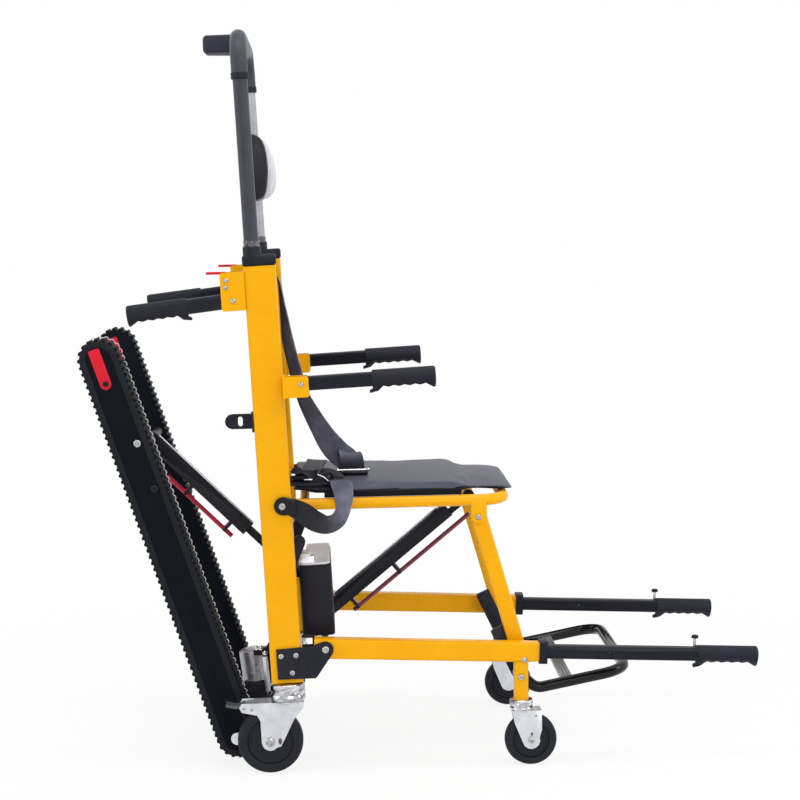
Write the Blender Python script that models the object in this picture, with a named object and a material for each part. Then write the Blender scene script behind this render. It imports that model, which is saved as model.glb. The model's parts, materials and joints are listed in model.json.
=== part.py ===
import math

import bmesh
import bpy
from mathutils import Matrix, Vector

# Lengths are metres, +Z is up, the chair faces +X and its right side is -Y.
# While building, X is measured from the swivel axis of the rear casters.

# Clearances and facet counts
SEAT_GAP = 0.0003
RUN_GAP = 0.0004
WELD = 0.0008
OVERCUT = 0.004
TUBE_SIDES = 10
PIN_SIDES = 8
EYE_STEPS = 6
WHEEL_STEPS = 20
SMOOTH_ANGLE = math.radians(38)

# Uprights
FRAME_Y = 0.220
FOOT_Z = 0.175
UPRIGHT_LEAN = math.radians(2.37)
UPRIGHT_LENGTH = 0.7915
UPRIGHT_DEPTH = 0.060
UPRIGHT_BREADTH = 0.030
UPRIGHT_WALL = 0.002
TUBE_CORNER = 0.005
FOOT_PLUG = 0.036
UPRIGHT_INNER = FRAME_Y - UPRIGHT_BREADTH / 2
UPRIGHT_OUTER = FRAME_Y + UPRIGHT_BREADTH / 2

# Top caps
CAP_MARGIN = 0.0015
CAP_HEIGHT = 0.0205
CAP_EDGE = 0.003
CAP_COLLAR = 0.0170
CAP_COLLAR_HEIGHT = 0.015

# Cross tubes of the back
BACK_TUBE_RADIUS = 0.009
BACK_TUBE_V = -0.018
UPPER_TUBE_U = 0.778
MIDDLE_TUBE_U = 0.430
LOWER_TUBE_RADIUS = 0.011
LOWER_TUBE_X = -0.006
LOWER_TUBE_Z = 0.365

# Carry handle brackets on the rear of the uprights
REAR_BRACKET_LOW = 0.711
REAR_BRACKET_HIGH = 0.783
REAR_BRACKET_REACH = 0.0445
REAR_BRACKET_CHAMFER = 0.003
BRACKET_WEB = 0.003
BRACKET_CHEEK = 0.003

# Carry handles: common grip
GRIP_HALF_TALL = 0.0170
GRIP_HALF_WIDE = 0.0160
GRIP_GROOVE = 0.0026
GRIP_HOOK = 0.0080
GRIP_HOOK_LONG = 0.020
GRIP_LIP = 0.006
GRIP_LIP_HALF = 0.005
GRIP_FLARE = 0.0060
GRIP_FLARE_LONG = 0.019
GRIP_END = 0.004
GRIP_OVERLAP = 0.006
GRIP_FINGERS = 4
GRIP_SIDES = 12
HANDLE_CORNER = 0.004
HANDLE_BORE_END = 0.008
PIVOT_PIN = 0.004

# Rear carry handles and their red levers
REAR_HANDLE_X = -0.0826
REAR_HANDLE_Z = 0.9022
REAR_HANDLE_DROP = math.radians(6.57)
REAR_HANDLE_HALF = 0.014
REAR_GRIP_START = 0.087
REAR_GRIP_END = 0.200
LEVER_X = -0.0945
LEVER_Z = 0.9400
LEVER_REACH = 0.0375
LEVER_RISE = 0.0135
LEVER_HALF_TALL = 0.0023
LEVER_NECK = 0.0017
LEVER_NECK_TRIM = 0.0003
LEVER_HALF_WIDE = 0.009
LEVER_EYE = 0.0065
LEVER_PIN = 0.0025

# Armrest handles
ARM_Y = 0.262
ARM_X = 0.0400
ARM_Z = 0.7475
ARM_RISE = math.radians(2.6)
ARM_HALF = 0.013
ARM_GRIP_START = 0.132
ARM_GRIP_END = 0.250
ARM_BRACKET_LOW = 0.546
ARM_BRACKET_HIGH = 0.585
ARM_BRACKET_REACH = 0.0475
ARM_BRACKET_CHAMFER = 0.003
ARM_BASE_PLATE = 0.0043

# Latch tab on the rear of the right upright
LATCH_Z = 0.675
LATCH_RADIUS = 0.014
LATCH_TIP_X = -0.091
LATCH_HALF_WIDE = 0.005
LATCH_SLOT_X = -0.076
LATCH_SLOT_HALF = 0.0045
LATCH_SLOT_TALL = 0.005

# Push handle, its cross bar and head rest
PUSH_V = -0.0124
PUSH_RADIUS = 0.0125
PUSH_LOW_U = 0.450
PUSH_TOP_U = 1.221
PUSH_CORNER = 0.060
PUSH_BAND_U = 1.136
PUSH_BAND_WIDTH = 0.0125
PUSH_BAND_RADIUS = 0.0162
PUSH_FOAM_RADIUS = 0.0150
PUSH_STEP = 0.0004
HEAD_BAR_U = 0.977
HEAD_BAR_RADIUS = 0.009
HEAD_LOW_Z = 1.0865
HEAD_HIGH_Z = 1.2150
HEAD_HALF_WIDTH = 0.120
HEAD_SHELL_FRONT_X = -0.0215
HEAD_SHELL_BACK_X = -0.0480
HEAD_PAD_FRONT_X = -0.0050
HEAD_PAD_INSET = 0.005
HEAD_STATIONS = 12

# Control box and rocker switch
PUSH_TOP_X = PUSH_V * math.cos(UPRIGHT_LEAN) - PUSH_TOP_U * math.sin(UPRIGHT_LEAN)
PUSH_TOP_Z = FOOT_Z + PUSH_V * math.sin(UPRIGHT_LEAN) + PUSH_TOP_U * math.cos(UPRIGHT_LEAN)
BOX_LONG = 0.0589
BOX_TALL = 0.0347
BOX_DROP = 0.0048
BOX_FRONT_X = PUSH_TOP_X - PUSH_FOAM_RADIUS - SEAT_GAP
BOX_BACK_X = BOX_FRONT_X - BOX_LONG
BOX_LOW_Z = PUSH_TOP_Z - BOX_DROP - BOX_TALL / 2
BOX_HIGH_Z = BOX_LOW_Z + BOX_TALL
BOX_HALF_WIDTH = 0.046
BOX_TAPER = 0.72
BOX_EDGE = 0.005
ROCKER_X = (BOX_BACK_X + BOX_FRONT_X) / 2
ROCKER_HALF_LONG = 0.012
ROCKER_HALF_WIDE = 0.008
ROCKER_HIGH = 0.0045
ROCKER_DEEP = 0.007
ROCKER_CLEAR = 0.0016

# Folding parallelogram: seat pivot, seat to leg, leg to rail, rail pivot
SEAT_PIVOT_X = -0.003
SEAT_PIVOT_Z = 0.513
RAIL_PIVOT_X = 0.073
RAIL_PIVOT_Z = 0.238
LINK_X = 0.375
LINK_Z = -0.033
LEG_PIVOT_X = SEAT_PIVOT_X + LINK_X
LEG_PIVOT_Z = SEAT_PIVOT_Z + LINK_Z
LEG_FOOT_X = RAIL_PIVOT_X + LINK_X
LEG_FOOT_Z = RAIL_PIVOT_Z + LINK_Z
HINGE_PIN = 0.006

# Seat frame
SEAT_TUBE_Z = 0.510
SEAT_TUBE_Y = 0.189
SEAT_TUBE_RADIUS = 0.011
SEAT_FRONT_X = 0.4235
SEAT_CORNER = 0.050
SEAT_REAR_BAR_X = 0.040
SEAT_REAR_BAR_RADIUS = 0.009
SEAT_LUG = 0.0165
SEAT_LUG_INNER = 0.182
SEAT_LUG_OUTER = 0.2030
SEAT_BOSS = 0.011
SEAT_PIN_INNER = 0.180
SEAT_TAB_INNER = 0.1965
SEAT_TAB_OUTER = 0.2005
SEAT_TAB_HALF = 0.015

# Seat pad
PAD_REAR_X = 0.013
PAD_FRONT_X = 0.446
PAD_STEP_X = 0.340
PAD_HALF_WIDTH = 0.192
PAD_NOSE_HALF_WIDTH = 0.158
PAD_LOW_Z = SEAT_TUBE_Z + SEAT_TUBE_RADIUS + SEAT_GAP
PAD_EDGE_Z = 0.5385
PAD_NOSE_DROP = 0.010
PAD_CROWN = 0.007
PAD_DRAWN_IN = 0.006
PAD_STEP_LENGTH = 0.022

# Legs
LEG_HALF_DEPTH = 0.015
LEG_INNER = 0.176
LEG_OUTER = 0.196
LEG_EDGE = 0.0075

# Rails, posts and collars
RAIL_DROP = math.radians(2.6)
RAIL_TALL = 0.036
RAIL_WIDE = 0.030
RAIL_BACK = -0.021
RAIL_FRONT = 0.4095
COLLAR_BACK = 0.4080
COLLAR_FRONT = 0.4235
COLLAR_TALL = 0.044
COLLAR_WIDE = 0.036
POST_X = 0.446
POST_DEPTH = 0.027
POST_WIDE = 0.026
POST_LOW_Z = 0.1287
POST_TOP_Z = 0.2040
LEG_BOSS = 0.011
LEG_PIN_INNER = 0.1755

# Front carry handles and spring knobs
FRONT_HALF = 0.0125
FRONT_TUBE_BACK = 0.300
FRONT_GRIP_START = 0.712
FRONT_GRIP_END = 0.830
FRONT_HOLE = 0.5445
FRONT_HOLE_RADIUS = 0.003
KNOB_ALONG = 0.7080
KNOB_STEM = 0.0028
KNOB_HEAD = 0.0068
KNOB_HEAD_LOW = 0.0305
KNOB_HEAD_HIGH = 0.0365
KNOB_ROOT = 0.0060

# Black hinge plates and the axle of the lower frame
PLATE_INNER = UPRIGHT_OUTER + SEAT_GAP
PLATE_THICK = 0.004
PLATE_EAR = 0.016
PLATE_OUTLINE = ((0.0579, 0.1877), (0.0540, 0.1835), (-0.0177, 0.1828), (-0.0200, 0.2408),
                 (0.0443, 0.2447))
BASE_AXLE = 0.007

# Footrest
FOOT_PIVOT_X = 0.446
FOOT_PIVOT_Z = 0.170
FOOT_TUBE_Y = 0.186
FOOT_TUBE_RADIUS = 0.011
FOOT_ELBOW_X = 0.478
FOOT_ELBOW_Z = 0.1385
FOOT_TIP_X = 0.655
FOOT_TIP_Z = 0.172
FOOT_ELBOW_BEND = 0.026
FOOT_CORNER = 0.045
FOOT_EYE = 0.0135
FOOT_EYE_INNER = 0.174
FOOT_EYE_OUTER = 0.1985
FOOT_ARM_X = 0.411
FOOT_ARM_Z = 0.2454
FOOT_ARM_HALF = 0.0145
FOOT_ARM_END = 0.0125
FOOT_ARM_CORNER = 0.003
FOOT_ARM_INNER = 0.168
FOOT_ARM_OUTER = 0.1745
TREAD_X = 0.541
TREAD_HALF = 0.011
TREAD_THICK = 0.005
TREAD_RIBS = 3
TREAD_RIB_HIGH = 0.0015

# Casters
REAR_WHEEL_RADIUS = 0.0625
REAR_WHEEL_WIDE = 0.032
REAR_TRAIL = 0.035
REAR_HUB = 0.043
REAR_CROWN_TOP = 0.1734
REAR_CROWN = 0.033
REAR_CROWN_GROOVE = 0.152
REAR_PLATE_TOP = 0.1385
REAR_PLATE_THICK = 0.004
REAR_CHEEK_INNER = 0.0180
REAR_CHEEK_THICK = 0.003
REAR_STEM = 0.009
REAR_STEM_TOP = 0.203
FRONT_WHEEL_RADIUS = 0.050
FRONT_WHEEL_WIDE = 0.026
FRONT_TRAIL = -0.017
FRONT_HUB = 0.034
FRONT_CROWN_TOP = POST_LOW_Z - SEAT_GAP
FRONT_CROWN = 0.022
FRONT_CROWN_GROOVE = 0.116
FRONT_PLATE_TOP = 0.1080
FRONT_PLATE_THICK = 0.0035
FRONT_CHEEK_INNER = 0.0148
FRONT_CHEEK_THICK = 0.0027
FRONT_STEM = 0.008
FRONT_STEM_TOP = 0.160
REAR_FOOT = 0.0165
REAR_FRONT_EDGE = ((0.030, REAR_PLATE_TOP), (0.029, 0.1285), (0.011, 0.106), (-0.0145, 0.054))
REAR_BACK_EDGE = ((-0.0530, 0.104), (-0.0590, 0.1150), (-0.0880, 0.1215), (-0.0925, 0.1300),
                  (-0.0880, REAR_PLATE_TOP))
REAR_NOTCH_X = -0.066
FRONT_FOOT = 0.0170
FRONT_FRONT_EDGE = ((POST_X + 0.0375, FRONT_PLATE_TOP), (POST_X + 0.0375, 0.070))
FRONT_BACK_EDGE = ((POST_X - 0.0150, 0.085), (POST_X - 0.0190, FRONT_PLATE_TOP))
WHEEL_AXLE = 0.005
HUB_RECESS = 0.004
TYRE_SHOULDER = 0.006

# Brake pedals
PEDAL_X = -0.084
PEDAL_Z = 0.1300
PEDAL_EYE = 0.0060
PEDAL_PIN = 0.0028
PEDAL_REACH = 0.034
PEDAL_HALF_WIDE = 0.0155
PEDAL_THICK = 0.0045
PEDAL_RISE = 0.006

# Crawler tracks
TRACK_X = -0.100
TRACK_Z = 0.058
TRACK_LEAN = math.radians(18.15)
TRACK_LENGTH = 0.7735
TRACK_FROM_FRAME = 0.032
TRACK_WIDE = 0.056
TRACK_OUTER = FRAME_Y - TRACK_FROM_FRAME
TRACK_INNER = TRACK_OUTER - TRACK_WIDE
TRACK_PLATE = 0.0046
TRACK_PLATE_RADIUS = 0.0365
TRACK_CORE_HALF = 0.026
TRACK_CORE_END = 0.040
TRACK_CORE_WALL = 0.003
TRACK_POCKET_RADIUS = 0.0310
TRACK_POCKET_DEEP = 0.0012
BELT_INNER = 0.0315
BELT_ROOT = 0.0365
BELT_TIP = 0.0405
BELT_PITCH = 0.034
BELT_TEETH = 138
BELT_SIDE_GAP = 0.0006
TOOTH_ROOT = 0.60
TOOTH_TIP = 0.36
PULLEY_RADIUS = 0.0302
PULLEY_SIDE_GAP = 0.002
DRIVE_AXLE = 0.010
AXLE_HUB = 0.012
AXLE_HUB_END = TRACK_OUTER + 0.006
IDLER_PIN = 0.006
TRACK_TUBE_ACROSS = 0.022
TRACK_TUBE_ALONG = 0.584
TRACK_TUBE_RADIUS = 0.010

# Drive bracket and gear motor
DRIVE_TUBE_X = -0.008
DRIVE_TUBE_Z = 0.2145
DRIVE_TUBE_RADIUS = 0.011
DRIVE_PLATE_INNER = 0.045
DRIVE_PLATE_OUTER = 0.051
DRIVE_BOSS = 0.021
DRIVE_TOP_BOSS = 0.016
MOTOR_Y = -0.088
MOTOR_RADIUS = 0.0235
MOTOR_X = -0.066
MOTOR_LOW_Z = 0.146
MOTOR_LENGTH = 0.062
MOTOR_LEAN = math.radians(7)
GEARBOX_OUTER = -0.113
GEARBOX_OUTLINE = ((-0.087, 0.150), (-0.046, 0.150), (-0.041, 0.118), (-0.070, 0.070))

# Telescopic struts
SEAT_STRUT_Y = 0.060
SEAT_CHANNEL_SHORT = 0.0497
SEAT_CHANNEL_START = 0.006
SEAT_CHANNEL_LOW = -0.007
SEAT_CHANNEL_HIGH = 0.0205
SEAT_CHANNEL_HALF = 0.0135
SEAT_SLIDER_SHORT = 0.0347
SEAT_SLIDER_HALF = 0.0085
SEAT_SLIDER_HALF_TALL = 0.0055
STRUT_WALL = 0.0025
STRUT_EYE = 0.0125
SEAT_RELEASE_ENDS = (0.054, 0.362)
SEAT_RELEASE_POSTS = (0.066, 0.177)
SEAT_RELEASE_LEVEL = -0.0290
TRACK_CHANNEL_SHORT = 0.0985
TRACK_CHANNEL_HALF = 0.0150
TRACK_CHANNEL_LOW = -0.0140
TRACK_CHANNEL_HIGH = 0.0140
TRACK_EYE = 0.0150
TRACK_SLIDER_SHORT = 0.1255
TRACK_SLIDER_HALF = 0.0095
TRACK_SLIDER_HALF_TALL = 0.0068
LOWER_EYE = 0.0165
TRACK_RELEASE_ENDS = (0.072, 0.249)
TRACK_RELEASE_POSTS = (0.122, 0.228)
TRACK_RELEASE_LEVEL = -0.0340
RELEASE_ROD = 0.0045
RELEASE_POST_HALF = 0.0035

# Battery
BATTERY_RIGHT = -0.185
BATTERY_LEFT = 0.030
BATTERY_BACK_V = 0.034
BATTERY_FRONT_V = 0.0963
BATTERY_LOW_U = 0.075
BATTERY_SPLIT_U = 0.213
BATTERY_TOP_U = 0.2180
BATTERY_CORNER = 0.008
BATTERY_EDGE = 0.004
BATTERY_GROOVE = 0.003
BATTERY_NOTCH = 0.0140
BATTERY_NOTCH_START = 0.050
SOCKET_TALL = 0.0125
SOCKET_BACK = 0.004
SOCKET_FRONT = 0.031
SOCKET_NEAR = 0.006
SOCKET_FAR = 0.040
HANGER_LOW_U = 0.180
HANGER_HIGH_U = 0.198
HANGER_SIDE = 0.012
HANGER_LONG = 0.0625
LUG_TIP_X = 0.028
LUG_TIP_Z = 0.438
LUG_RADIUS = 0.012
LUG_ROOT_RADIUS = 0.015
LUG_THICK = 0.008

# Webbing and sling
WEB_WIDTH = 0.048
WEB_THICK = 0.0024
STRAP_Y = -0.120
SLING_THICK = 0.003
SLING_HALF_WIDTH = 0.2015
SLING_HEM = 0.030
SLING_SAG = 0.004
BUCKLE_HALF_LONG = 0.031
BUCKLE_HALF_WIDE = 0.019
BUCKLE_HALF_TALL = 0.0075
BUCKLE_PLACE = (0.1355, -0.050, 0.5585)
BUCKLE_EDGE = 0.0015
STRAP_FALL = (((-0.004, -0.119, 0.942), 3), ((0.006, -0.116, 0.890), 12), ((0.0147, -0.110, 0.819), 28),
              ((0.027, -0.104, 0.762), 31), ((0.042, -0.098, 0.7065), 34), ((0.0755, -0.080, 0.6385), 54),
              ((0.101, -0.064, 0.598), 86), ((0.122, -0.056, 0.578), 92), ((0.133, -0.052, 0.566), 92))
LAP_WIDTH = 0.044
LAP_OUT = UPRIGHT_OUTER + WEB_THICK / 2 + 2 * SEAT_GAP
LAP_PATH = ((-0.016, -LAP_OUT, 0.518), (0.014, -LAP_OUT, 0.511), (0.036, -LAP_OUT - 0.002, 0.502),
            (0.058, -LAP_OUT - 0.004, 0.485), (0.082, -LAP_OUT - 0.004, 0.476), (0.106, -LAP_OUT + 0.002, 0.484),
            (0.119, -0.226, 0.506), (0.118, -0.2085, 0.532), (0.112, -0.196, 0.5500), (0.104, -0.172, 0.5520),
            (0.096, -0.145, 0.5500), (0.084, -0.100, 0.5505), (0.062, -0.040, 0.5545), (0.056, 0.040, 0.5530),
            (0.062, 0.120, 0.5500), (0.066, 0.172, 0.5500), (0.064, 0.199, 0.5440), (0.058, 0.2085, 0.527),
            (0.046, 0.224, 0.508), (0.030, LAP_OUT + 0.001, 0.503), (0.014, LAP_OUT, 0.508),
            (-0.016, LAP_OUT, 0.518))
LAP_ACROSS = ((0.25, 0, 1), (0.25, 0, 1), (0.35, 0.1, 1), (0.5, 0.35, 0.8), (0.1, 0.65, 0.75), (-0.4, 0.75, 0.5),
              (-0.75, 0.65, 0.1), (-0.95, 0.1, 0.2), (-1, 0.1, 0.1), (-1, 0, 0), (-1, 0, 0), (-1, 0.1, 0),
              (-1, -0.3, 0), (-1, 0, 0), (-1, 0, 0), (-1, 0, 0), (-1, 0, 0.15), (-0.9, 0, 0.4), (-0.6, 0.5, 0.6),
              (0.4, 0.1, 1), (0.25, 0, 1), (0.25, 0, 1))

WORLD = Matrix.Identity(4)


def placed(angle, x, z, y=0.0):
    return Matrix.Translation((x, y, z)) @ Matrix.Rotation(angle, 4, "Y")


UPRIGHT_FRAME = placed(-UPRIGHT_LEAN, 0.0, FOOT_Z)
RAIL_FRAME = placed(RAIL_DROP, RAIL_PIVOT_X, RAIL_PIVOT_Z)
TRACK_FRAME = placed(-TRACK_LEAN, TRACK_X, TRACK_Z)
TRACK_TUBE = TRACK_FRAME @ Vector((TRACK_TUBE_ACROSS, 0.0, TRACK_TUBE_ALONG))


def clear_scene():
    for old in list(bpy.data.objects):
        bpy.data.objects.remove(old, do_unlink=True)


def solid(bm, frame=WORLD):
    bmesh.ops.transform(bm, matrix=frame, verts=bm.verts)
    bmesh.ops.recalc_face_normals(bm, faces=bm.faces)
    mesh = bpy.data.meshes.new("piece")
    bm.to_mesh(mesh)
    bm.free()
    piece = bpy.data.objects.new("piece", mesh)
    bpy.context.collection.objects.link(piece)
    return piece


def loft(rings, frame=WORLD, closed=False):
    bm = bmesh.new()
    loops = [[bm.verts.new(point) for point in ring] for ring in rings]
    pairs = list(zip(loops, loops[1:]))
    if closed:
        pairs.append((loops[-1], loops[0]))
    for first, second in pairs:
        for i in range(len(first)):
            j = (i + 1) % len(first)
            bm.faces.new((first[i], first[j], second[j], second[i]))
    if not closed:
        bm.faces.new(loops[0])
        bm.faces.new(loops[-1])
    return solid(bm, frame)


def along(axis, t, a, b):
    if axis == "X":
        return Vector((t, a, b))
    if axis == "Y":
        return Vector((a, t, b))
    return Vector((a, b, t))


def bar(section, low, high, axis, frame=WORLD):
    return loft([[along(axis, t, a, b) for a, b in section] for t in (low, high)], frame)


def hollow_bar(outer, inner, low, high, axis, frame=WORLD):
    rings = [(outer, low), (outer, high), (inner, high), (inner, low)]
    return loft([[along(axis, t, a, b) for a, b in section] for section, t in rings], frame, closed=True)


def rounded(width, height, corner, steps=3, centre=(0.0, 0.0)):
    points = []
    spots = ((1, 1, 0.0), (-1, 1, 0.5), (-1, -1, 1.0), (1, -1, 1.5))
    for sx, sy, start in spots:
        for k in range(steps):
            turn = math.pi * (start + 0.5 * k / (steps - 1))
            x = centre[0] + sx * (width / 2 - corner) + corner * math.cos(turn)
            y = centre[1] + sy * (height / 2 - corner) + corner * math.sin(turn)
            points.append((x, y))
    return points


def block(width, breadth, corner, edge, low, high, frame, centre=(0.0, 0.0)):
    rings = []
    for level, inset in ((low, edge), (low + edge, 0.0), (high - edge, 0.0), (high, edge)):
        section = rounded(width - 2 * inset, breadth - 2 * inset, corner, 3, centre)
        rings.append([Vector((a, b, level)) for a, b in section])
    return loft(rings, frame)


def rod(start, end, radius, sides=TUBE_SIDES):
    start, end = Vector(start), Vector(end)
    turn = (end - start).to_track_quat("Z", "Y").to_matrix().to_4x4()
    frame = Matrix.Translation((start + end) / 2) @ turn
    bm = bmesh.new()
    bmesh.ops.create_cone(bm, cap_ends=True, segments=sides, radius1=radius, radius2=radius,
                          depth=(end - start).length, matrix=frame)
    return solid(bm)


def cross_rod(x, z, low, high, radius, sides=TUBE_SIDES):
    return rod((x, low, z), (x, high, z), radius, sides)


def bore(start, end, radius):
    return rod(start, end, (radius + RUN_GAP) / math.cos(math.pi / TUBE_SIDES))


def cross_bore(x, z, low, high, radius):
    return bore((x, low, z), (x, high, z), radius)


def prism(outline, low, high, frame=WORLD):
    bm = bmesh.new()
    face = bm.faces.new([bm.verts.new((x, low, z)) for x, z in outline])
    grown = bmesh.ops.extrude_face_region(bm, geom=[face])
    moved = [item for item in grown["geom"] if isinstance(item, bmesh.types.BMVert)]
    bmesh.ops.translate(bm, verts=moved, vec=(0.0, high - low, 0.0))
    return solid(bm, frame)


def arc(x, z, radius, start, end, steps=EYE_STEPS):
    points = []
    for k in range(steps + 1):
        turn = start + (end - start) * k / steps
        points.append((x + radius * math.cos(turn), z + radius * math.sin(turn)))
    return points


def link_outline(x1, z1, r1, x2, z2, r2):
    turn = math.atan2(z2 - z1, x2 - x1)
    spread = math.acos((r1 - r2) / math.hypot(x2 - x1, z2 - z1))
    near = arc(x1, z1, r1, turn + spread, turn + 2 * math.pi - spread)
    return near + arc(x2, z2, r2, turn - spread, turn + spread)


def lathe(profile, frame, steps):
    bm = bmesh.new()
    spots = [bm.verts.new((radius, 0.0, height)) for radius, height in profile]
    edges = [bm.edges.new(pair) for pair in zip(spots, spots[1:])]
    if profile[0][0] > 0.0:
        edges.append(bm.edges.new((spots[-1], spots[0])))
    bmesh.ops.spin(bm, geom=spots + edges, cent=(0, 0, 0), axis=(0, 0, 1), angle=2 * math.pi,
                   steps=steps, use_merge=True)
    bmesh.ops.remove_doubles(bm, verts=bm.verts, dist=RUN_GAP / 40)
    return solid(bm, frame)


def filleted(points, radius, steps=5):
    points = [Vector(point) for point in points]
    path = [points[0]]
    for before, corner, after in zip(points, points[1:], points[2:]):
        one = (before - corner).normalized()
        two = (after - corner).normalized()
        half = one.angle(two) / 2
        centre = corner + (one + two).normalized() * radius / math.sin(half)
        start = corner + one * radius / math.tan(half) - centre
        end = corner + two * radius / math.tan(half) - centre
        turns = [start.normalized().slerp(end.normalized(), k / steps) for k in range(steps + 1)]
        path += [centre + turn * radius for turn in turns]
    return path + [points[-1]]


def tangents(path):
    found = []
    for k in range(len(path)):
        found.append((path[min(k + 1, len(path) - 1)] - path[max(k - 1, 0)]).normalized())
    return found


def sweep(path, radii, frame=WORLD, sides=TUBE_SIDES):
    directions = tangents(path)
    side = directions[0].orthogonal().normalized()
    rings = []
    for k, point in enumerate(path):
        if k:
            side = directions[k - 1].rotation_difference(directions[k]) @ side
        up = directions[k].cross(side)
        radius = radii[k] if isinstance(radii, list) else radii
        turns = [2 * math.pi * i / sides for i in range(sides)]
        rings.append([point + (side * math.cos(t) + up * math.sin(t)) * radius for t in turns])
    return loft(rings, frame)


def ribbon(stations, width, thick):
    path = [Vector(spot) for spot, _ in stations]
    rings = []
    for point, direction, (_, across) in zip(path, tangents(path), stations):
        across = Vector(across)
        across = (across - direction * across.dot(direction)).normalized() * width / 2
        up = direction.cross(across).normalized() * thick / 2
        rings.append([point + across + up, point - across + up, point - across - up, point + across - up])
    return loft(rings)


def curve_through(points, parts=3):
    points = [Vector(point) for point in points]
    whole = [points[0]]
    for k in range(len(points) - 1):
        before = points[max(k - 1, 0)]
        after = points[min(k + 2, len(points) - 1)]
        start, end = points[k], points[k + 1]
        for step in range(1, parts + 1):
            t = step / parts
            bend = (start - before) * 0.5 * t * (1 - t) ** 2 - (after - end) * 0.5 * t * t * (1 - t)
            ease = t * t * (3 - 2 * t)
            lean = ((end - start) * 0.5) * (t * (1 - t) ** 2 - t * t * (1 - t))
            whole.append(start + (end - start) * ease + bend + lean)
    return whole


def bake(piece):
    graph = bpy.context.evaluated_depsgraph_get()
    mesh = bpy.data.meshes.new_from_object(piece.evaluated_get(graph))
    piece.modifiers.clear()
    piece.data = mesh
    return piece


def combine(piece, tools, operation):
    for tool in tools:
        step = piece.modifiers.new("combine", "BOOLEAN")
        step.operation = operation
        step.solver = "EXACT"
        step.object = tool
        bake(piece)
        bpy.data.objects.remove(tool, do_unlink=True)
    return piece


def fuse(piece, *tools):
    return combine(piece, tools, "UNION")


def cut(piece, *tools):
    return combine(piece, tools, "DIFFERENCE")


def soften(piece, width, segments=1):
    step = piece.modifiers.new("soften", "BEVEL")
    step.width = width
    step.segments = segments
    step.limit_method = "ANGLE"
    return bake(piece)


def mirrored(piece):
    mesh = piece.data.copy()
    mesh.transform(Matrix.Scale(-1, 4, (0, 1, 0)))
    mesh.flip_normals()
    twin = bpy.data.objects.new("piece", mesh)
    bpy.context.collection.objects.link(twin)
    return twin


def paint(name, colour, roughness, metallic):
    finish = bpy.data.materials.new(name)
    finish.use_nodes = True
    shader = finish.node_tree.nodes["Principled BSDF"]
    shader.inputs["Base Color"].default_value = (*colour, 1.0)
    shader.inputs["Roughness"].default_value = roughness
    shader.inputs["Metallic"].default_value = metallic
    return finish


NODES = []


def node(piece, name, finish, pivot=None):
    piece.name = name
    piece.data.name = name
    bm = bmesh.new()
    bm.from_mesh(piece.data)
    bmesh.ops.remove_doubles(bm, verts=bm.verts, dist=RUN_GAP / 40)
    bmesh.ops.dissolve_degenerate(bm, edges=bm.edges, dist=RUN_GAP / 80)
    bm.to_mesh(piece.data)
    bm.free()
    if pivot is not None:
        pivot = Vector(pivot)
        piece.data.transform(Matrix.Translation(-pivot))
        piece.location = pivot
    piece.data.materials.clear()
    piece.data.materials.append(finish)
    piece.data.shade_smooth()
    piece.data.set_sharp_from_angle(angle=SMOOTH_ANGLE)
    NODES.append(piece)
    return piece


def node_pair(right, name, finish, pivot=None):
    left = mirrored(right)
    node(right, name + "_right", finish, pivot)
    if pivot is not None:
        pivot = (pivot[0], -pivot[1], pivot[2])
    node(left, name + "_left", finish, pivot)


def upright(with_latch):
    section = rounded(UPRIGHT_DEPTH, UPRIGHT_BREADTH, TUBE_CORNER, 3, (0.0, -FRAME_Y))
    inside = rounded(UPRIGHT_DEPTH - 2 * UPRIGHT_WALL, UPRIGHT_BREADTH - 2 * UPRIGHT_WALL,
                     TUBE_CORNER - UPRIGHT_WALL, 3, (0.0, -FRAME_Y))
    plug = rounded(UPRIGHT_DEPTH - UPRIGHT_WALL, UPRIGHT_BREADTH - UPRIGHT_WALL,
                   TUBE_CORNER - UPRIGHT_WALL / 2, 3, (0.0, -FRAME_Y))
    piece = hollow_bar(section, inside, 0.0, UPRIGHT_LENGTH, "Z", UPRIGHT_FRAME)
    fuse(piece, bar(plug, UPRIGHT_WALL, FOOT_PLUG, "Z", UPRIGHT_FRAME))
    cut(piece, bore((0, -FRAME_Y, FOOT_Z - FOOT_PLUG), (0, -FRAME_Y, REAR_STEM_TOP + RUN_GAP), REAR_STEM))
    fuse(piece, rear_bracket(), arm_bracket())
    fuse(piece, cross_rod(SEAT_PIVOT_X, SEAT_PIVOT_Z, -UPRIGHT_INNER - WELD, -SEAT_LUG_OUTER - RUN_GAP, SEAT_BOSS))
    fuse(piece, cross_rod(SEAT_PIVOT_X, SEAT_PIVOT_Z, -UPRIGHT_INNER - WELD, -SEAT_PIN_INNER, HINGE_PIN, PIN_SIDES))
    if with_latch:
        fuse(piece, latch_tab())
    return piece


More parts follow.
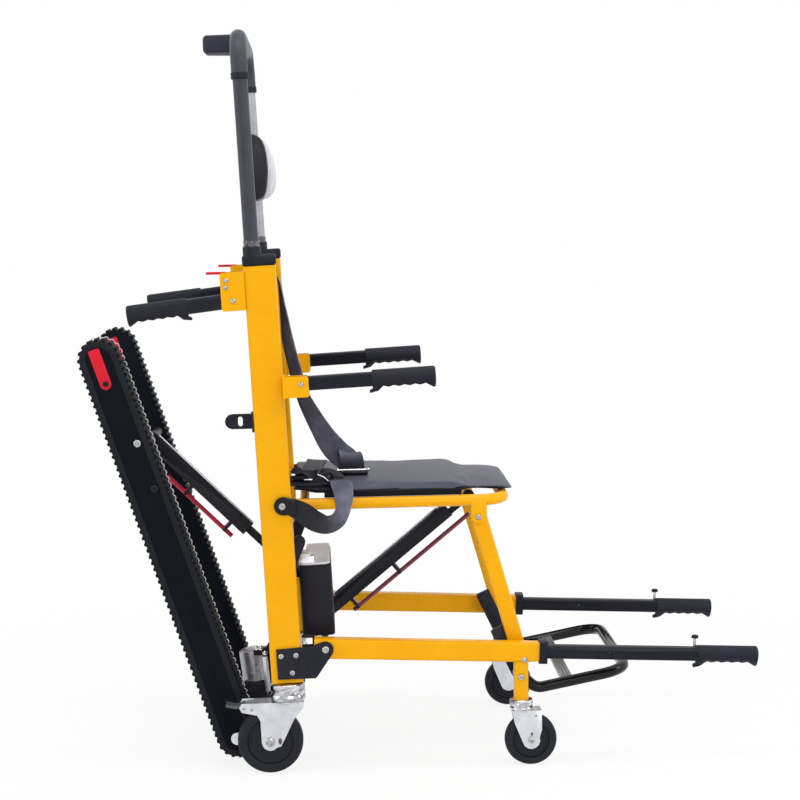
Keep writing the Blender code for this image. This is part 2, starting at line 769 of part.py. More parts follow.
def rear_bracket():
    inner = -UPRIGHT_DEPTH / 2 + WELD
    outer = -UPRIGHT_DEPTH / 2 - REAR_BRACKET_REACH
    trim = REAR_BRACKET_CHAMFER
    outline = ((inner, REAR_BRACKET_LOW), (inner, REAR_BRACKET_HIGH), (outer + trim, REAR_BRACKET_HIGH),
               (outer, REAR_BRACKET_HIGH - trim), (outer, REAR_BRACKET_LOW + trim), (outer + trim, REAR_BRACKET_LOW))
    half = REAR_HANDLE_HALF + RUN_GAP
    web = -UPRIGHT_DEPTH / 2 - BRACKET_WEB
    slot = ((web, REAR_BRACKET_LOW - OVERCUT), (web, REAR_BRACKET_HIGH + OVERCUT),
            (outer - OVERCUT, REAR_BRACKET_HIGH + OVERCUT), (outer - OVERCUT, REAR_BRACKET_LOW - OVERCUT))
    reach = half + BRACKET_CHEEK
    piece = prism(outline, -FRAME_Y - reach, -FRAME_Y + reach, UPRIGHT_FRAME)
    cut(piece, prism(slot, -FRAME_Y - half, -FRAME_Y + half, UPRIGHT_FRAME))
    hold = half + BRACKET_CHEEK / 2
    fuse(piece, cross_rod(REAR_HANDLE_X, REAR_HANDLE_Z, -FRAME_Y - hold, -FRAME_Y + hold, PIVOT_PIN, PIN_SIDES))
    fuse(piece, cross_rod(LEVER_X, LEVER_Z, -FRAME_Y - hold, -FRAME_Y + hold, LEVER_PIN, PIN_SIDES))
    return piece


def arm_bracket():
    inner = UPRIGHT_DEPTH / 2 - WELD
    outer = UPRIGHT_DEPTH / 2 + ARM_BRACKET_REACH
    plate = UPRIGHT_DEPTH / 2 + ARM_BASE_PLATE
    trim = ARM_BRACKET_CHAMFER
    outline = ((inner, ARM_BRACKET_LOW), (inner, ARM_BRACKET_HIGH), (outer - trim, ARM_BRACKET_HIGH),
               (outer, ARM_BRACKET_HIGH - trim), (outer, ARM_BRACKET_LOW + trim), (outer - trim, ARM_BRACKET_LOW))
    thin = plate - RUN_GAP
    low, high = ARM_BRACKET_LOW + WELD, ARM_BRACKET_HIGH - WELD
    base = ((inner + RUN_GAP / 2, low), (inner + RUN_GAP / 2, high), (thin, high), (thin, low))
    half = ARM_HALF + RUN_GAP
    reach = half + BRACKET_CHEEK
    slot = ((plate, ARM_BRACKET_LOW - OVERCUT), (plate, ARM_BRACKET_HIGH + OVERCUT),
            (outer + OVERCUT, ARM_BRACKET_HIGH + OVERCUT), (outer + OVERCUT, ARM_BRACKET_LOW - OVERCUT))
    piece = prism(outline, -ARM_Y - reach, -ARM_Y + reach, UPRIGHT_FRAME)
    cut(piece, prism(slot, -ARM_Y - half, -ARM_Y + half, UPRIGHT_FRAME))
    fuse(piece, prism(base, -ARM_Y, -UPRIGHT_INNER - WELD, UPRIGHT_FRAME))
    hold = half + BRACKET_CHEEK / 2
    fuse(piece, cross_rod(ARM_X, ARM_Z, -ARM_Y - hold, -ARM_Y + hold, PIVOT_PIN, PIN_SIDES))
    return piece


def latch_tab():
    root_x = (UPRIGHT_FRAME.inverted() @ Vector((0.0, 0.0, LATCH_Z))).x
    root_x = -root_x - UPRIGHT_DEPTH / 2 + WELD
    outline = arc(LATCH_TIP_X, LATCH_Z, LATCH_RADIUS, math.pi / 2, 1.5 * math.pi)
    outline += [(root_x, LATCH_Z - LATCH_RADIUS), (root_x, LATCH_Z + LATCH_RADIUS)]
    piece = prism(outline, -FRAME_Y - LATCH_HALF_WIDE, -FRAME_Y + LATCH_HALF_WIDE)
    slot = arc(LATCH_SLOT_X, LATCH_Z + LATCH_SLOT_TALL, LATCH_SLOT_HALF, 0.0, math.pi)
    slot += arc(LATCH_SLOT_X, LATCH_Z - LATCH_SLOT_TALL, LATCH_SLOT_HALF, math.pi, 2 * math.pi)
    wide = LATCH_HALF_WIDE + OVERCUT
    return cut(piece, prism(slot, -FRAME_Y - wide, -FRAME_Y + wide))


def top_cap():
    low = UPRIGHT_LENGTH + SEAT_GAP
    high = low + CAP_HEIGHT
    piece = block(UPRIGHT_DEPTH + 2 * CAP_MARGIN, UPRIGHT_BREADTH + 2 * CAP_MARGIN, TUBE_CORNER, CAP_EDGE,
                  low, high, UPRIGHT_FRAME, (0.0, -FRAME_Y))
    spots = [UPRIGHT_FRAME @ Vector((PUSH_V, -FRAME_Y, level))
             for level in (low - OVERCUT, low + CAP_EDGE, high + CAP_COLLAR_HEIGHT, high + 2 * CAP_COLLAR_HEIGHT)]
    fuse(piece, rod(spots[1], spots[2], CAP_COLLAR, 16))
    return cut(piece, bore(spots[0], spots[3], PUSH_RADIUS))


def back_tube(level):
    spot = UPRIGHT_FRAME @ Vector((BACK_TUBE_V, 0.0, level))
    half = UPRIGHT_INNER - SEAT_GAP
    return cross_rod(spot.x, spot.z, -half, half, BACK_TUBE_RADIUS)


def lower_tube():
    half = UPRIGHT_INNER - SEAT_GAP
    piece = cross_rod(LOWER_TUBE_X, LOWER_TUBE_Z, -half, half, LOWER_TUBE_RADIUS)
    lug = link_outline(LOWER_TUBE_X, LOWER_TUBE_Z, LUG_ROOT_RADIUS, LUG_TIP_X, LUG_TIP_Z, LUG_RADIUS)
    right = BATTERY_RIGHT - SEAT_GAP
    left = BATTERY_LEFT + SEAT_GAP
    front = BATTERY_BACK_V + BATTERY_NOTCH - SEAT_GAP
    outline = [(PUSH_V, HANGER_LOW_U), (front, HANGER_LOW_U), (front, HANGER_HIGH_U), (PUSH_V, HANGER_HIGH_U)]
    start = BATTERY_RIGHT + BATTERY_NOTCH_START + HANGER_SIDE
    fuse(piece, prism(outline, start, start + HANGER_LONG, UPRIGHT_FRAME))
    return fuse(piece, prism(lug, right - LUG_THICK, right), prism(lug, left, left + LUG_THICK))


def base_hinge():
    ear = arc(RAIL_PIVOT_X, RAIL_PIVOT_Z, PLATE_EAR, math.radians(100), math.radians(-34.4), EYE_STEPS)
    outline = ear + list(PLATE_OUTLINE)
    outer = PLATE_INNER + PLATE_THICK
    piece = prism(outline, -outer, -PLATE_INNER)
    inside = PLATE_INNER + PLATE_THICK / 2
    fuse(piece, cross_rod(RAIL_PIVOT_X, RAIL_PIVOT_Z, -inside, inside, BASE_AXLE, PIN_SIDES))
    return fuse(piece, prism(outline, PLATE_INNER, outer))


def square_tube(half, low, high, frame):
    return bar(rounded(2 * half, 2 * half, HANDLE_CORNER), low, high, "X", frame)


def grip(start, end, under, frame):
    first = start + GRIP_HOOK_LONG
    last = end - GRIP_FLARE_LONG
    stations = [(start, 0.92, 0.90), (start + GRIP_END / 4, 1.0, 1.0), (start + GRIP_HOOK_LONG / 2, 1.0, 0.8)]
    stations = [(place, scale, GRIP_HOOK * share) for place, scale, share in stations]
    for k in range(2 * GRIP_FINGERS + 1):
        place = first + (last - first) * k / (2 * GRIP_FINGERS)
        stations.append((place, 1.0, -GRIP_GROOVE * (1 - k % 2)))
    stations += [(end - GRIP_END, 1.0, GRIP_FLARE), (end - GRIP_END / 4, 0.93, GRIP_FLARE), (end, 0.8, GRIP_FLARE / 2)]
    rings = []
    for place, scale, under_more in stations:
        ring = []
        for i in range(GRIP_SIDES):
            turn = 2 * math.pi * i / GRIP_SIDES
            facing = max(0.0, under * math.sin(turn)) ** 2
            tall = GRIP_HALF_TALL * scale + under_more * facing
            ring.append(Vector((place, GRIP_HALF_WIDE * scale * math.cos(turn), tall * math.sin(turn))))
        rings.append(ring)
    low = under * (GRIP_HALF_TALL + GRIP_HOOK * 0.5)
    lip = ((start - GRIP_LIP, low), (start + GRIP_LIP, low - under * GRIP_LIP),
           (start + GRIP_LIP, low + under * GRIP_LIP_HALF / 2), (start - GRIP_LIP, low + under * GRIP_LIP_HALF))
    return fuse(loft(rings, frame), prism(lip, -GRIP_LIP_HALF, GRIP_LIP_HALF, frame))


def hinged_handle(frame, half, start, end, under):
    piece = square_tube(half, -HANDLE_BORE_END, start + GRIP_OVERLAP, frame)
    fuse(piece, grip(start, end, under, frame))
    spot = frame.translation
    wide = half + OVERCUT
    return cut(piece, cross_bore(spot.x, spot.z, spot.y - wide, spot.y + wide, PIVOT_PIN))


def release_lever():
    level = LEVER_Z + LEVER_RISE
    wide = LEVER_HALF_WIDE - LEVER_NECK_TRIM
    neck = link_outline(LEVER_X, LEVER_Z, LEVER_EYE, LEVER_X - LEVER_EYE, level, LEVER_NECK)
    piece = prism(neck, -FRAME_Y - wide, -FRAME_Y + wide)
    back, front = LEVER_X - LEVER_REACH, LEVER_X
    outline = ((back, level - LEVER_HALF_TALL), (front, level - LEVER_HALF_TALL),
               (front, level + LEVER_HALF_TALL), (back, level + LEVER_HALF_TALL))
    fuse(piece, prism(outline, -FRAME_Y - LEVER_HALF_WIDE, -FRAME_Y + LEVER_HALF_WIDE))
    wide = LEVER_HALF_WIDE + OVERCUT
    return cut(piece, cross_bore(LEVER_X, LEVER_Z, -FRAME_Y - wide, -FRAME_Y + wide, LEVER_PIN))


def push_handle():
    corners = [(PUSH_V, -FRAME_Y, PUSH_LOW_U), (PUSH_V, -FRAME_Y, PUSH_TOP_U),
               (PUSH_V, FRAME_Y, PUSH_TOP_U), (PUSH_V, FRAME_Y, PUSH_LOW_U)]
    path = filleted(corners, PUSH_CORNER)
    lead = [path[0]]
    radii = [PUSH_RADIUS]
    levels = ((PUSH_BAND_U, PUSH_RADIUS), (PUSH_BAND_U + PUSH_STEP, PUSH_BAND_RADIUS),
              (PUSH_BAND_U + PUSH_BAND_WIDTH, PUSH_BAND_RADIUS),
              (PUSH_BAND_U + PUSH_BAND_WIDTH + PUSH_STEP, PUSH_FOAM_RADIUS))
    for level, radius in levels:
        lead.append(Vector((PUSH_V, -FRAME_Y, level)))
        radii.append(radius)
    tail = [Vector((PUSH_V, -point.y, point.z)) for point in reversed(lead)]
    whole = lead + path[1:-1] + tail
    radii = radii + [PUSH_FOAM_RADIUS] * (len(path) - 2) + radii[::-1]
    piece = sweep(whole, radii, UPRIGHT_FRAME)
    ends = [UPRIGHT_FRAME @ Vector((PUSH_V, side * FRAME_Y, HEAD_BAR_U)) for side in (-1, 1)]
    fuse(piece, rod(ends[0], ends[1], HEAD_BAR_RADIUS))
    return fuse(piece, head_cushion(HEAD_SHELL_BACK_X, HEAD_SHELL_FRONT_X, 0.0, 0.004, 0.0))


def head_cushion(back, front, inset, corner, bulge):
    low = HEAD_LOW_Z + inset
    high = HEAD_HIGH_Z - inset
    half = HEAD_HALF_WIDTH - inset
    middle = (low + high) / 2
    rings = []
    for k in range(HEAD_STATIONS + 1):
        across = -math.cos(math.pi * k / HEAD_STATIONS)
        shrink = 1.0 - 0.22 * abs(across) ** 6
        thin = 1.0 - 0.55 * abs(across) ** 8
        depth = (front - back) * thin
        ring = []
        for x, z in rounded(depth, (high - low) * shrink, min(corner, depth / 3), 3):
            swell = bulge * (1.0 - across ** 4) if x > 0.0 else 0.0
            swell *= math.cos((z + 0.012) * 20)
            ring.append(Vector((back + depth / 2 + x + swell, across * half, middle + z)))
        rings.append(ring)
    return loft(rings)


def control_box():
    rings = []
    middle = (BOX_LOW_Z + BOX_HIGH_Z) / 2
    tall = BOX_HIGH_Z - BOX_LOW_Z
    steps = ((BOX_BACK_X, BOX_TAPER, BOX_EDGE), (BOX_BACK_X + BOX_EDGE, BOX_TAPER, 0.0),
             (BOX_FRONT_X - BOX_EDGE, 1.0, 0.0), (BOX_FRONT_X, 1.0, BOX_EDGE / 2))
    for x, scale, inset in steps:
        section = rounded(2 * BOX_HALF_WIDTH * scale - 2 * inset, tall - 2 * inset, BOX_EDGE, 3)
        rings.append([Vector((x, a, middle + b)) for a, b in section])
    piece = loft(rings)
    long = ROCKER_HALF_LONG + ROCKER_CLEAR
    wide = ROCKER_HALF_WIDE + ROCKER_CLEAR / 2
    low = BOX_HIGH_Z - ROCKER_DEEP - ROCKER_CLEAR
    well = bar(rounded(2 * long, 2 * wide, ROCKER_CLEAR, 3, (ROCKER_X, 0.0)), low, BOX_HIGH_Z + OVERCUT, "Z")
    return cut(piece, well)


def control_switch():
    outline = [(-ROCKER_HALF_LONG, ROCKER_HIGH), (-ROCKER_HALF_LONG, -ROCKER_DEEP * 0.4),
               (0.0, -ROCKER_DEEP), (ROCKER_HALF_LONG, -ROCKER_DEEP * 0.4), (ROCKER_HALF_LONG, ROCKER_HIGH),
               (0.0, ROCKER_HIGH * 0.5)]
    outline = [(ROCKER_X + x, BOX_HIGH_Z + z) for x, z in outline]
    return prism(outline, -ROCKER_HALF_WIDE, ROCKER_HALF_WIDE)


def seat_frame():
    corners = [(SEAT_PIVOT_X, -SEAT_TUBE_Y, SEAT_TUBE_Z), (SEAT_FRONT_X, -SEAT_TUBE_Y, SEAT_TUBE_Z),
               (SEAT_FRONT_X, SEAT_TUBE_Y, SEAT_TUBE_Z), (SEAT_PIVOT_X, SEAT_TUBE_Y, SEAT_TUBE_Z)]
    piece = sweep(filleted(corners, SEAT_CORNER), SEAT_TUBE_RADIUS)
    fuse(piece, cross_rod(SEAT_REAR_BAR_X, SEAT_TUBE_Z, -SEAT_TUBE_Y, SEAT_TUBE_Y, SEAT_REAR_BAR_RADIUS))
    tab = [(LEG_PIVOT_X + SEAT_TAB_HALF, SEAT_TUBE_Z), (LEG_PIVOT_X - SEAT_TAB_HALF, SEAT_TUBE_Z)]
    tab += arc(LEG_PIVOT_X, LEG_PIVOT_Z, SEAT_TAB_HALF, math.pi, 2 * math.pi)
    for side in (-1, 1):
        low, high = sorted((side * SEAT_LUG_INNER, side * SEAT_LUG_OUTER))
        fuse(piece, cross_rod(SEAT_PIVOT_X, SEAT_PIVOT_Z, low, high, SEAT_LUG, 16))
        low, high = sorted((side * (SEAT_PIN_INNER - SEAT_GAP), side * FRAME_Y))
        cut(piece, cross_bore(SEAT_PIVOT_X, SEAT_PIVOT_Z, low, high, HINGE_PIN))
        low, high = sorted((side * SEAT_TAB_INNER, side * SEAT_TAB_OUTER))
        fuse(piece, prism(tab, low, high))
    inside = (SEAT_TAB_INNER + SEAT_TAB_OUTER) / 2
    return fuse(piece, cross_rod(LEG_PIVOT_X, LEG_PIVOT_Z, -inside, inside, HINGE_PIN, PIN_SIDES))


def pad_section(half, low, high, crown):
    points = [(-half + PAD_DRAWN_IN, low), (0.0, low), (half - PAD_DRAWN_IN, low)]
    tall = high - low
    side = ((1.0, 0.30), (1.0, 0.62), (0.985, 0.86), (0.955, 1.0))
    top = (0.80, 0.55, 0.28, 0.0, -0.28, -0.55, -0.80)
    points += [(half * a, low + tall * b) for a, b in side]
    points += [(half * a, high + crown * (1.0 - a * a)) for a in top]
    points += [(-half * a, low + tall * b) for a, b in reversed(side)]
    return points


def seat_pad():
    rings = []
    length = PAD_STEP_X - PAD_REAR_X
    stations = [(PAD_REAR_X, 1.0, 0.55, 0.0), (PAD_REAR_X + PAD_DRAWN_IN, 1.0, 0.95, 0.6)]
    stations += [(PAD_REAR_X + length * k / 7, 1.0, 1.0, 1.0) for k in range(1, 7)]
    nose = PAD_NOSE_HALF_WIDTH / PAD_HALF_WIDTH
    tall = PAD_EDGE_Z - PAD_LOW_Z
    low_nose = 1.0 - PAD_NOSE_DROP / tall
    stations += [(PAD_STEP_X, 1.0, 1.0, 0.9), (PAD_STEP_X + PAD_STEP_LENGTH * 0.5, (1 + nose) / 2, 0.85, 0.8),
                 (PAD_STEP_X + PAD_STEP_LENGTH, nose, low_nose + 0.1, 0.8)]
    rest = PAD_FRONT_X - PAD_STEP_X - PAD_STEP_LENGTH
    for part, scale, height in ((0.45, 1.0, 0.05), (0.75, 0.985, 0.0), (0.92, 0.95, -0.04), (1.0, 0.90, -0.18)):
        place = PAD_STEP_X + PAD_STEP_LENGTH + rest * part
        stations.append((place, nose * scale, low_nose + height, 0.6 * (1.4 - part)))
    for x, wide, high, crown in stations:
        section = pad_section(PAD_HALF_WIDTH * wide, PAD_LOW_Z, PAD_LOW_Z + tall * high, PAD_CROWN * crown)
        rings.append([Vector((x, y, z)) for y, z in section])
    return loft(rings)


def leg():
    outline = link_outline(LEG_PIVOT_X, LEG_PIVOT_Z, LEG_HALF_DEPTH, LEG_FOOT_X, LEG_FOOT_Z, LEG_HALF_DEPTH)
    piece = soften(prism(outline, -LEG_OUTER, -LEG_INNER), LEG_EDGE, 2)
    wide = (-LEG_OUTER - OVERCUT, -LEG_INNER + OVERCUT)
    cut(piece, cross_bore(LEG_PIVOT_X, LEG_PIVOT_Z, *wide, HINGE_PIN))
    return cut(piece, cross_bore(LEG_FOOT_X, LEG_FOOT_Z, *wide, HINGE_PIN))


def rail():
    outer = rounded(RAIL_WIDE, RAIL_TALL, TUBE_CORNER, 3, (-FRAME_Y, 0.0))
    inner = rounded(RAIL_WIDE - 2 * UPRIGHT_WALL, RAIL_TALL - 2 * UPRIGHT_WALL, TUBE_CORNER - UPRIGHT_WALL, 3,
                    (-FRAME_Y, 0.0))
    piece = hollow_bar(outer, inner, RAIL_BACK, RAIL_FRONT, "X", RAIL_FRAME)
    collar = rounded(COLLAR_WIDE, COLLAR_TALL, TUBE_CORNER, 3, (-FRAME_Y, 0.0))
    collar = bar(collar, COLLAR_BACK, COLLAR_FRONT, "X", RAIL_FRAME)
    frame = RAIL_FRAME @ Matrix.Translation((0.0, -FRAME_Y, 0.0))
    cut(collar, square_tube(FRONT_HALF + RUN_GAP, COLLAR_BACK - OVERCUT, COLLAR_FRONT + OVERCUT, frame))
    fuse(piece, collar)
    post = rounded(POST_DEPTH, POST_WIDE, TUBE_CORNER, 3, (POST_X, -FRAME_Y))
    fuse(piece, bar(post, POST_LOW_Z, POST_TOP_Z, "Z"))
    cut(piece, bore((POST_X, -FRAME_Y, POST_LOW_Z - OVERCUT), (POST_X, -FRAME_Y, FRONT_STEM_TOP + RUN_GAP),
                    FRONT_STEM))
    wall = -FRAME_Y + RAIL_WIDE / 2 - WELD
    fuse(piece, cross_rod(LEG_FOOT_X, LEG_FOOT_Z, wall, -LEG_OUTER - RUN_GAP, LEG_BOSS))
    fuse(piece, cross_rod(LEG_FOOT_X, LEG_FOOT_Z, wall, -LEG_PIN_INNER, HINGE_PIN, PIN_SIDES))
    wall = -FRAME_Y + POST_WIDE / 2 - WELD
    fuse(piece, cross_rod(FOOT_PIVOT_X, FOOT_PIVOT_Z, wall, -FOOT_EYE_OUTER - RUN_GAP, LEG_BOSS))
    fuse(piece, cross_rod(FOOT_PIVOT_X, FOOT_PIVOT_Z, wall, -FOOT_EYE_INNER, HINGE_PIN, PIN_SIDES))
    return cut(piece, cross_bore(RAIL_PIVOT_X, RAIL_PIVOT_Z, -FRAME_Y - RAIL_WIDE, -FRAME_Y + RAIL_WIDE, BASE_AXLE))


def front_handle():
    frame = RAIL_FRAME @ Matrix.Translation((0.0, -FRAME_Y, 0.0))
    piece = square_tube(FRONT_HALF, FRONT_TUBE_BACK, FRONT_GRIP_START + GRIP_OVERLAP, frame)
    fuse(piece, grip(FRONT_GRIP_START, FRONT_GRIP_END, -1, frame))
    hole = frame @ Vector((FRONT_HOLE, 0.0, 0.0))
    cut(piece, cross_rod(hole.x, hole.z, hole.y - RAIL_WIDE, hole.y + RAIL_WIDE, FRONT_HOLE_RADIUS, PIN_SIDES))
    ends = [frame @ Vector((KNOB_ALONG, 0.0, place)) for place in (KNOB_ROOT - RUN_GAP, KNOB_HEAD_HIGH)]
    return cut(piece, bore(ends[0], ends[1], KNOB_STEM))


def lock_knob():
    frame = RAIL_FRAME @ Matrix.Translation((KNOB_ALONG, -FRAME_Y, 0.0))
    profile = [(0.0, KNOB_ROOT), (KNOB_STEM, KNOB_ROOT), (KNOB_STEM, KNOB_HEAD_LOW), (KNOB_HEAD, KNOB_HEAD_LOW),
               (KNOB_HEAD, KNOB_HEAD_HIGH - KNOB_STEM / 2), (KNOB_HEAD * 0.7, KNOB_HEAD_HIGH), (0.0, KNOB_HEAD_HIGH)]
    return lathe(profile, frame, PIN_SIDES)


def foot_arm_outline():
    turn = math.atan2(FOOT_ARM_Z - FOOT_PIVOT_Z, FOOT_ARM_X - FOOT_PIVOT_X)
    end = math.hypot(FOOT_ARM_Z - FOOT_PIVOT_Z, FOOT_ARM_X - FOOT_PIVOT_X) + FOOT_ARM_END
    outline = arc(FOOT_PIVOT_X, FOOT_PIVOT_Z, FOOT_ARM_HALF, turn + math.pi / 2, turn + 1.5 * math.pi)
    trim = FOOT_ARM_CORNER
    tip = ((end - trim, -FOOT_ARM_HALF), (end, trim - FOOT_ARM_HALF), (end, FOOT_ARM_HALF - trim),
           (end - trim, FOOT_ARM_HALF))
    for along_arm, across in tip:
        outline.append((FOOT_PIVOT_X + along_arm * math.cos(turn) - across * math.sin(turn),
                        FOOT_PIVOT_Z + along_arm * math.sin(turn) + across * math.cos(turn)))
    return outline


def footrest():
    start = (FOOT_PIVOT_X, -FOOT_TUBE_Y, FOOT_PIVOT_Z)
    elbow = (FOOT_ELBOW_X, -FOOT_TUBE_Y, FOOT_ELBOW_Z)
    tip = (FOOT_TIP_X, -FOOT_TUBE_Y, FOOT_TIP_Z)
    side = filleted([start, elbow, tip], FOOT_ELBOW_BEND, 4)
    corner = filleted([elbow, tip, (FOOT_TIP_X, FOOT_TUBE_Y, FOOT_TIP_Z)], FOOT_CORNER, 5)
    half = side[:-1] + corner[1:-1]
    path = half + [Vector((point.x, -point.y, point.z)) for point in reversed(half)]
    piece = sweep(path, FOOT_TUBE_RADIUS)
    arm = foot_arm_outline()
    for sign in (-1, 1):
        low, high = sorted((sign * FOOT_EYE_INNER, sign * FOOT_EYE_OUTER))
        fuse(piece, cross_rod(FOOT_PIVOT_X, FOOT_PIVOT_Z, low, high, FOOT_EYE, 16))
        fuse(piece, prism(arm, *sorted((sign * FOOT_ARM_INNER, sign * FOOT_ARM_OUTER))))
        low, high = sorted((sign * (FOOT_ARM_INNER - OVERCUT), sign * FRAME_Y))
        cut(piece, cross_bore(FOOT_PIVOT_X, FOOT_PIVOT_Z, low, high, HINGE_PIN))
    return fuse(piece, tread_bar())


def tread_bar():
    slope = math.atan2(FOOT_TIP_Z - FOOT_ELBOW_Z, FOOT_TIP_X - FOOT_ELBOW_X)
    level = FOOT_ELBOW_Z + (TREAD_X - FOOT_ELBOW_X) * math.tan(slope)
    frame = placed(-slope, TREAD_X, level)
    outline = [(-TREAD_HALF, -TREAD_THICK), (TREAD_HALF, -TREAD_THICK), (TREAD_HALF, TREAD_THICK)]
    pitch = 2 * TREAD_HALF / (2 * TREAD_RIBS + 1)
    place = TREAD_HALF
    for _ in range(TREAD_RIBS):
        place -= pitch
        outline += [(place, TREAD_THICK), (place, TREAD_THICK + TREAD_RIB_HIGH)]
        place -= pitch
        outline += [(place, TREAD_THICK + TREAD_RIB_HIGH), (place, TREAD_THICK)]
    outline.append((-TREAD_HALF, TREAD_THICK))
    return prism(outline, -FOOT_TUBE_Y, FOOT_TUBE_Y, frame)


def caster_wheel(radius, wide, hub, x, z):
    half = wide / 2
    bore = WHEEL_AXLE + RUN_GAP
    upper = [(bore, half), (hub * 0.38, half), (hub * 0.42, half - HUB_RECESS), (hub, half - HUB_RECESS),
             (hub + HUB_RECESS / 2, half - HUB_RECESS / 4), (radius - TYRE_SHOULDER * 0.7, half - HUB_RECESS / 2),
             (radius, half - TYRE_SHOULDER * 1.3)]
    profile = upper + [(r, -h) for r, h in reversed(upper)]
    frame = Matrix.Translation((x, -FRAME_Y, z)) @ Matrix.Rotation(math.radians(90), 4, "X")
    return lathe(profile, frame, WHEEL_STEPS)


def caster_fork(swivel, top, crown, groove, plate, thick, cheek, cheek_thick, stem, stem_top, outline, axle):
    lip = crown * 0.94
    step = (top - groove) * 0.1
    profile = [(0.0, plate - thick / 2), (lip, plate - thick / 2), (lip, groove - step), (crown, groove + step),
               (crown, top - step), (lip, top), (stem, top), (stem, stem_top), (0.0, stem_top)]
    piece = lathe(profile, Matrix.Translation((swivel, -FRAME_Y, 0.0)), 14)
    outer = cheek + cheek_thick
    xs = [x for x, z in outline if z > plate - thick - RUN_GAP]
    low, high = min(xs), max(xs)
    deck = [(low, plate - thick), (high, plate - thick), (high, plate), (low, plate)]
    fuse(piece, prism(deck, -FRAME_Y - outer, -FRAME_Y + outer))
    fuse(piece, prism(outline, -FRAME_Y - outer, -FRAME_Y - cheek), prism(outline, -FRAME_Y + cheek, -FRAME_Y + outer))
    hold = cheek + cheek_thick / 2
    return fuse(piece, cross_rod(axle[0], axle[1], -FRAME_Y - hold, -FRAME_Y + hold, WHEEL_AXLE, PIN_SIDES))


def rear_fork():
    x, z = -REAR_TRAIL, REAR_WHEEL_RADIUS
    outline = list(REAR_FRONT_EDGE)
    outline += arc(x, z, REAR_FOOT, math.radians(-40), math.radians(-180), 6)
    outline += REAR_BACK_EDGE
    piece = caster_fork(0.0, REAR_CROWN_TOP, REAR_CROWN, REAR_CROWN_GROOVE, REAR_PLATE_TOP, REAR_PLATE_THICK,
                        REAR_CHEEK_INNER, REAR_CHEEK_THICK, REAR_STEM, REAR_STEM_TOP, outline, (x, z))
    back = PEDAL_X - PEDAL_REACH - OVERCUT
    notch = [(back, 0.0), (REAR_NOTCH_X, 0.0), (REAR_NOTCH_X, REAR_CROWN_TOP), (back, REAR_CROWN_TOP)]
    cut(piece, prism(notch, -FRAME_Y - REAR_CHEEK_INNER, -FRAME_Y + REAR_CHEEK_INNER))
    hold = REAR_CHEEK_INNER + REAR_CHEEK_THICK / 2
    return fuse(piece, cross_rod(PEDAL_X, PEDAL_Z, -FRAME_Y - hold, -FRAME_Y + hold, PEDAL_PIN, PIN_SIDES))


def front_fork():
    x, z = POST_X - FRONT_TRAIL, FRONT_WHEEL_RADIUS
    outline = list(FRONT_FRONT_EDGE)
    outline += arc(x, z, FRONT_FOOT, math.radians(20), math.radians(-170), 7)
    outline += FRONT_BACK_EDGE
    return caster_fork(POST_X, FRONT_CROWN_TOP, FRONT_CROWN, FRONT_CROWN_GROOVE, FRONT_PLATE_TOP, FRONT_PLATE_THICK,
                       FRONT_CHEEK_INNER, FRONT_CHEEK_THICK, FRONT_STEM, FRONT_STEM_TOP, outline, (x, z))


def brake_pedal():
    upper = [(PEDAL_X, PEDAL_Z + PEDAL_EYE * 0.5), (PEDAL_X - PEDAL_REACH * 0.45, PEDAL_Z + PEDAL_EYE * 0.3),
             (PEDAL_X - PEDAL_REACH, PEDAL_Z + PEDAL_RISE)]
    lower = [(x, z - PEDAL_THICK) for x, z in reversed(upper)]
    piece = soften(prism(upper + lower, -FRAME_Y - PEDAL_HALF_WIDE, -FRAME_Y + PEDAL_HALF_WIDE), 0.0008)
    fuse(piece, cross_rod(PEDAL_X, PEDAL_Z, -FRAME_Y - PEDAL_HALF_WIDE, -FRAME_Y + PEDAL_HALF_WIDE, PEDAL_EYE))
    wide = PEDAL_HALF_WIDE + OVERCUT
    return cut(piece, cross_bore(PEDAL_X, PEDAL_Z, -FRAME_Y - wide, -FRAME_Y + wide, PEDAL_PIN))


def stadium(radius, steps=8):
    upper = arc(0.0, TRACK_LENGTH, radius, 0.0, math.pi, steps)
    return upper + arc(0.0, 0.0, radius, math.pi, 2 * math.pi, steps)


def track_housing():
    outline = stadium(TRACK_PLATE_RADIUS)
    piece = prism(outline, -TRACK_OUTER, -TRACK_OUTER + TRACK_PLATE, TRACK_FRAME)
    middle = (0.0, -(TRACK_OUTER + TRACK_INNER) / 2)
    deep = 2 * TRACK_CORE_HALF
    wide = TRACK_WIDE - TRACK_PLATE
    outer = rounded(deep, wide, TUBE_CORNER / 2, 3, middle)
    inner = rounded(deep - 2 * TRACK_CORE_WALL, wide - 2 * TRACK_CORE_WALL, TUBE_CORNER / 4, 3, middle)
    fuse(piece, hollow_bar(outer, inner, TRACK_CORE_END, TRACK_LENGTH - TRACK_CORE_END, "Z", TRACK_FRAME))
    fuse(piece, prism(outline, -TRACK_INNER - TRACK_PLATE, -TRACK_INNER, TRACK_FRAME))
    pocket = stadium(TRACK_POCKET_RADIUS)
    cut(piece, prism(pocket, -TRACK_OUTER - OVERCUT, -TRACK_OUTER + TRACK_POCKET_DEEP, TRACK_FRAME))
    cut(piece, cross_bore(TRACK_X, TRACK_Z, -TRACK_OUTER - OVERCUT, -TRACK_INNER + OVERCUT, DRIVE_AXLE))
    top = TRACK_FRAME @ Vector((0.0, 0.0, TRACK_LENGTH))
    return fuse(piece, cross_rod(top.x, top.z, -TRACK_OUTER + TRACK_PLATE / 2, -TRACK_INNER - TRACK_PLATE / 2,
                                 IDLER_PIN, PIN_SIDES))


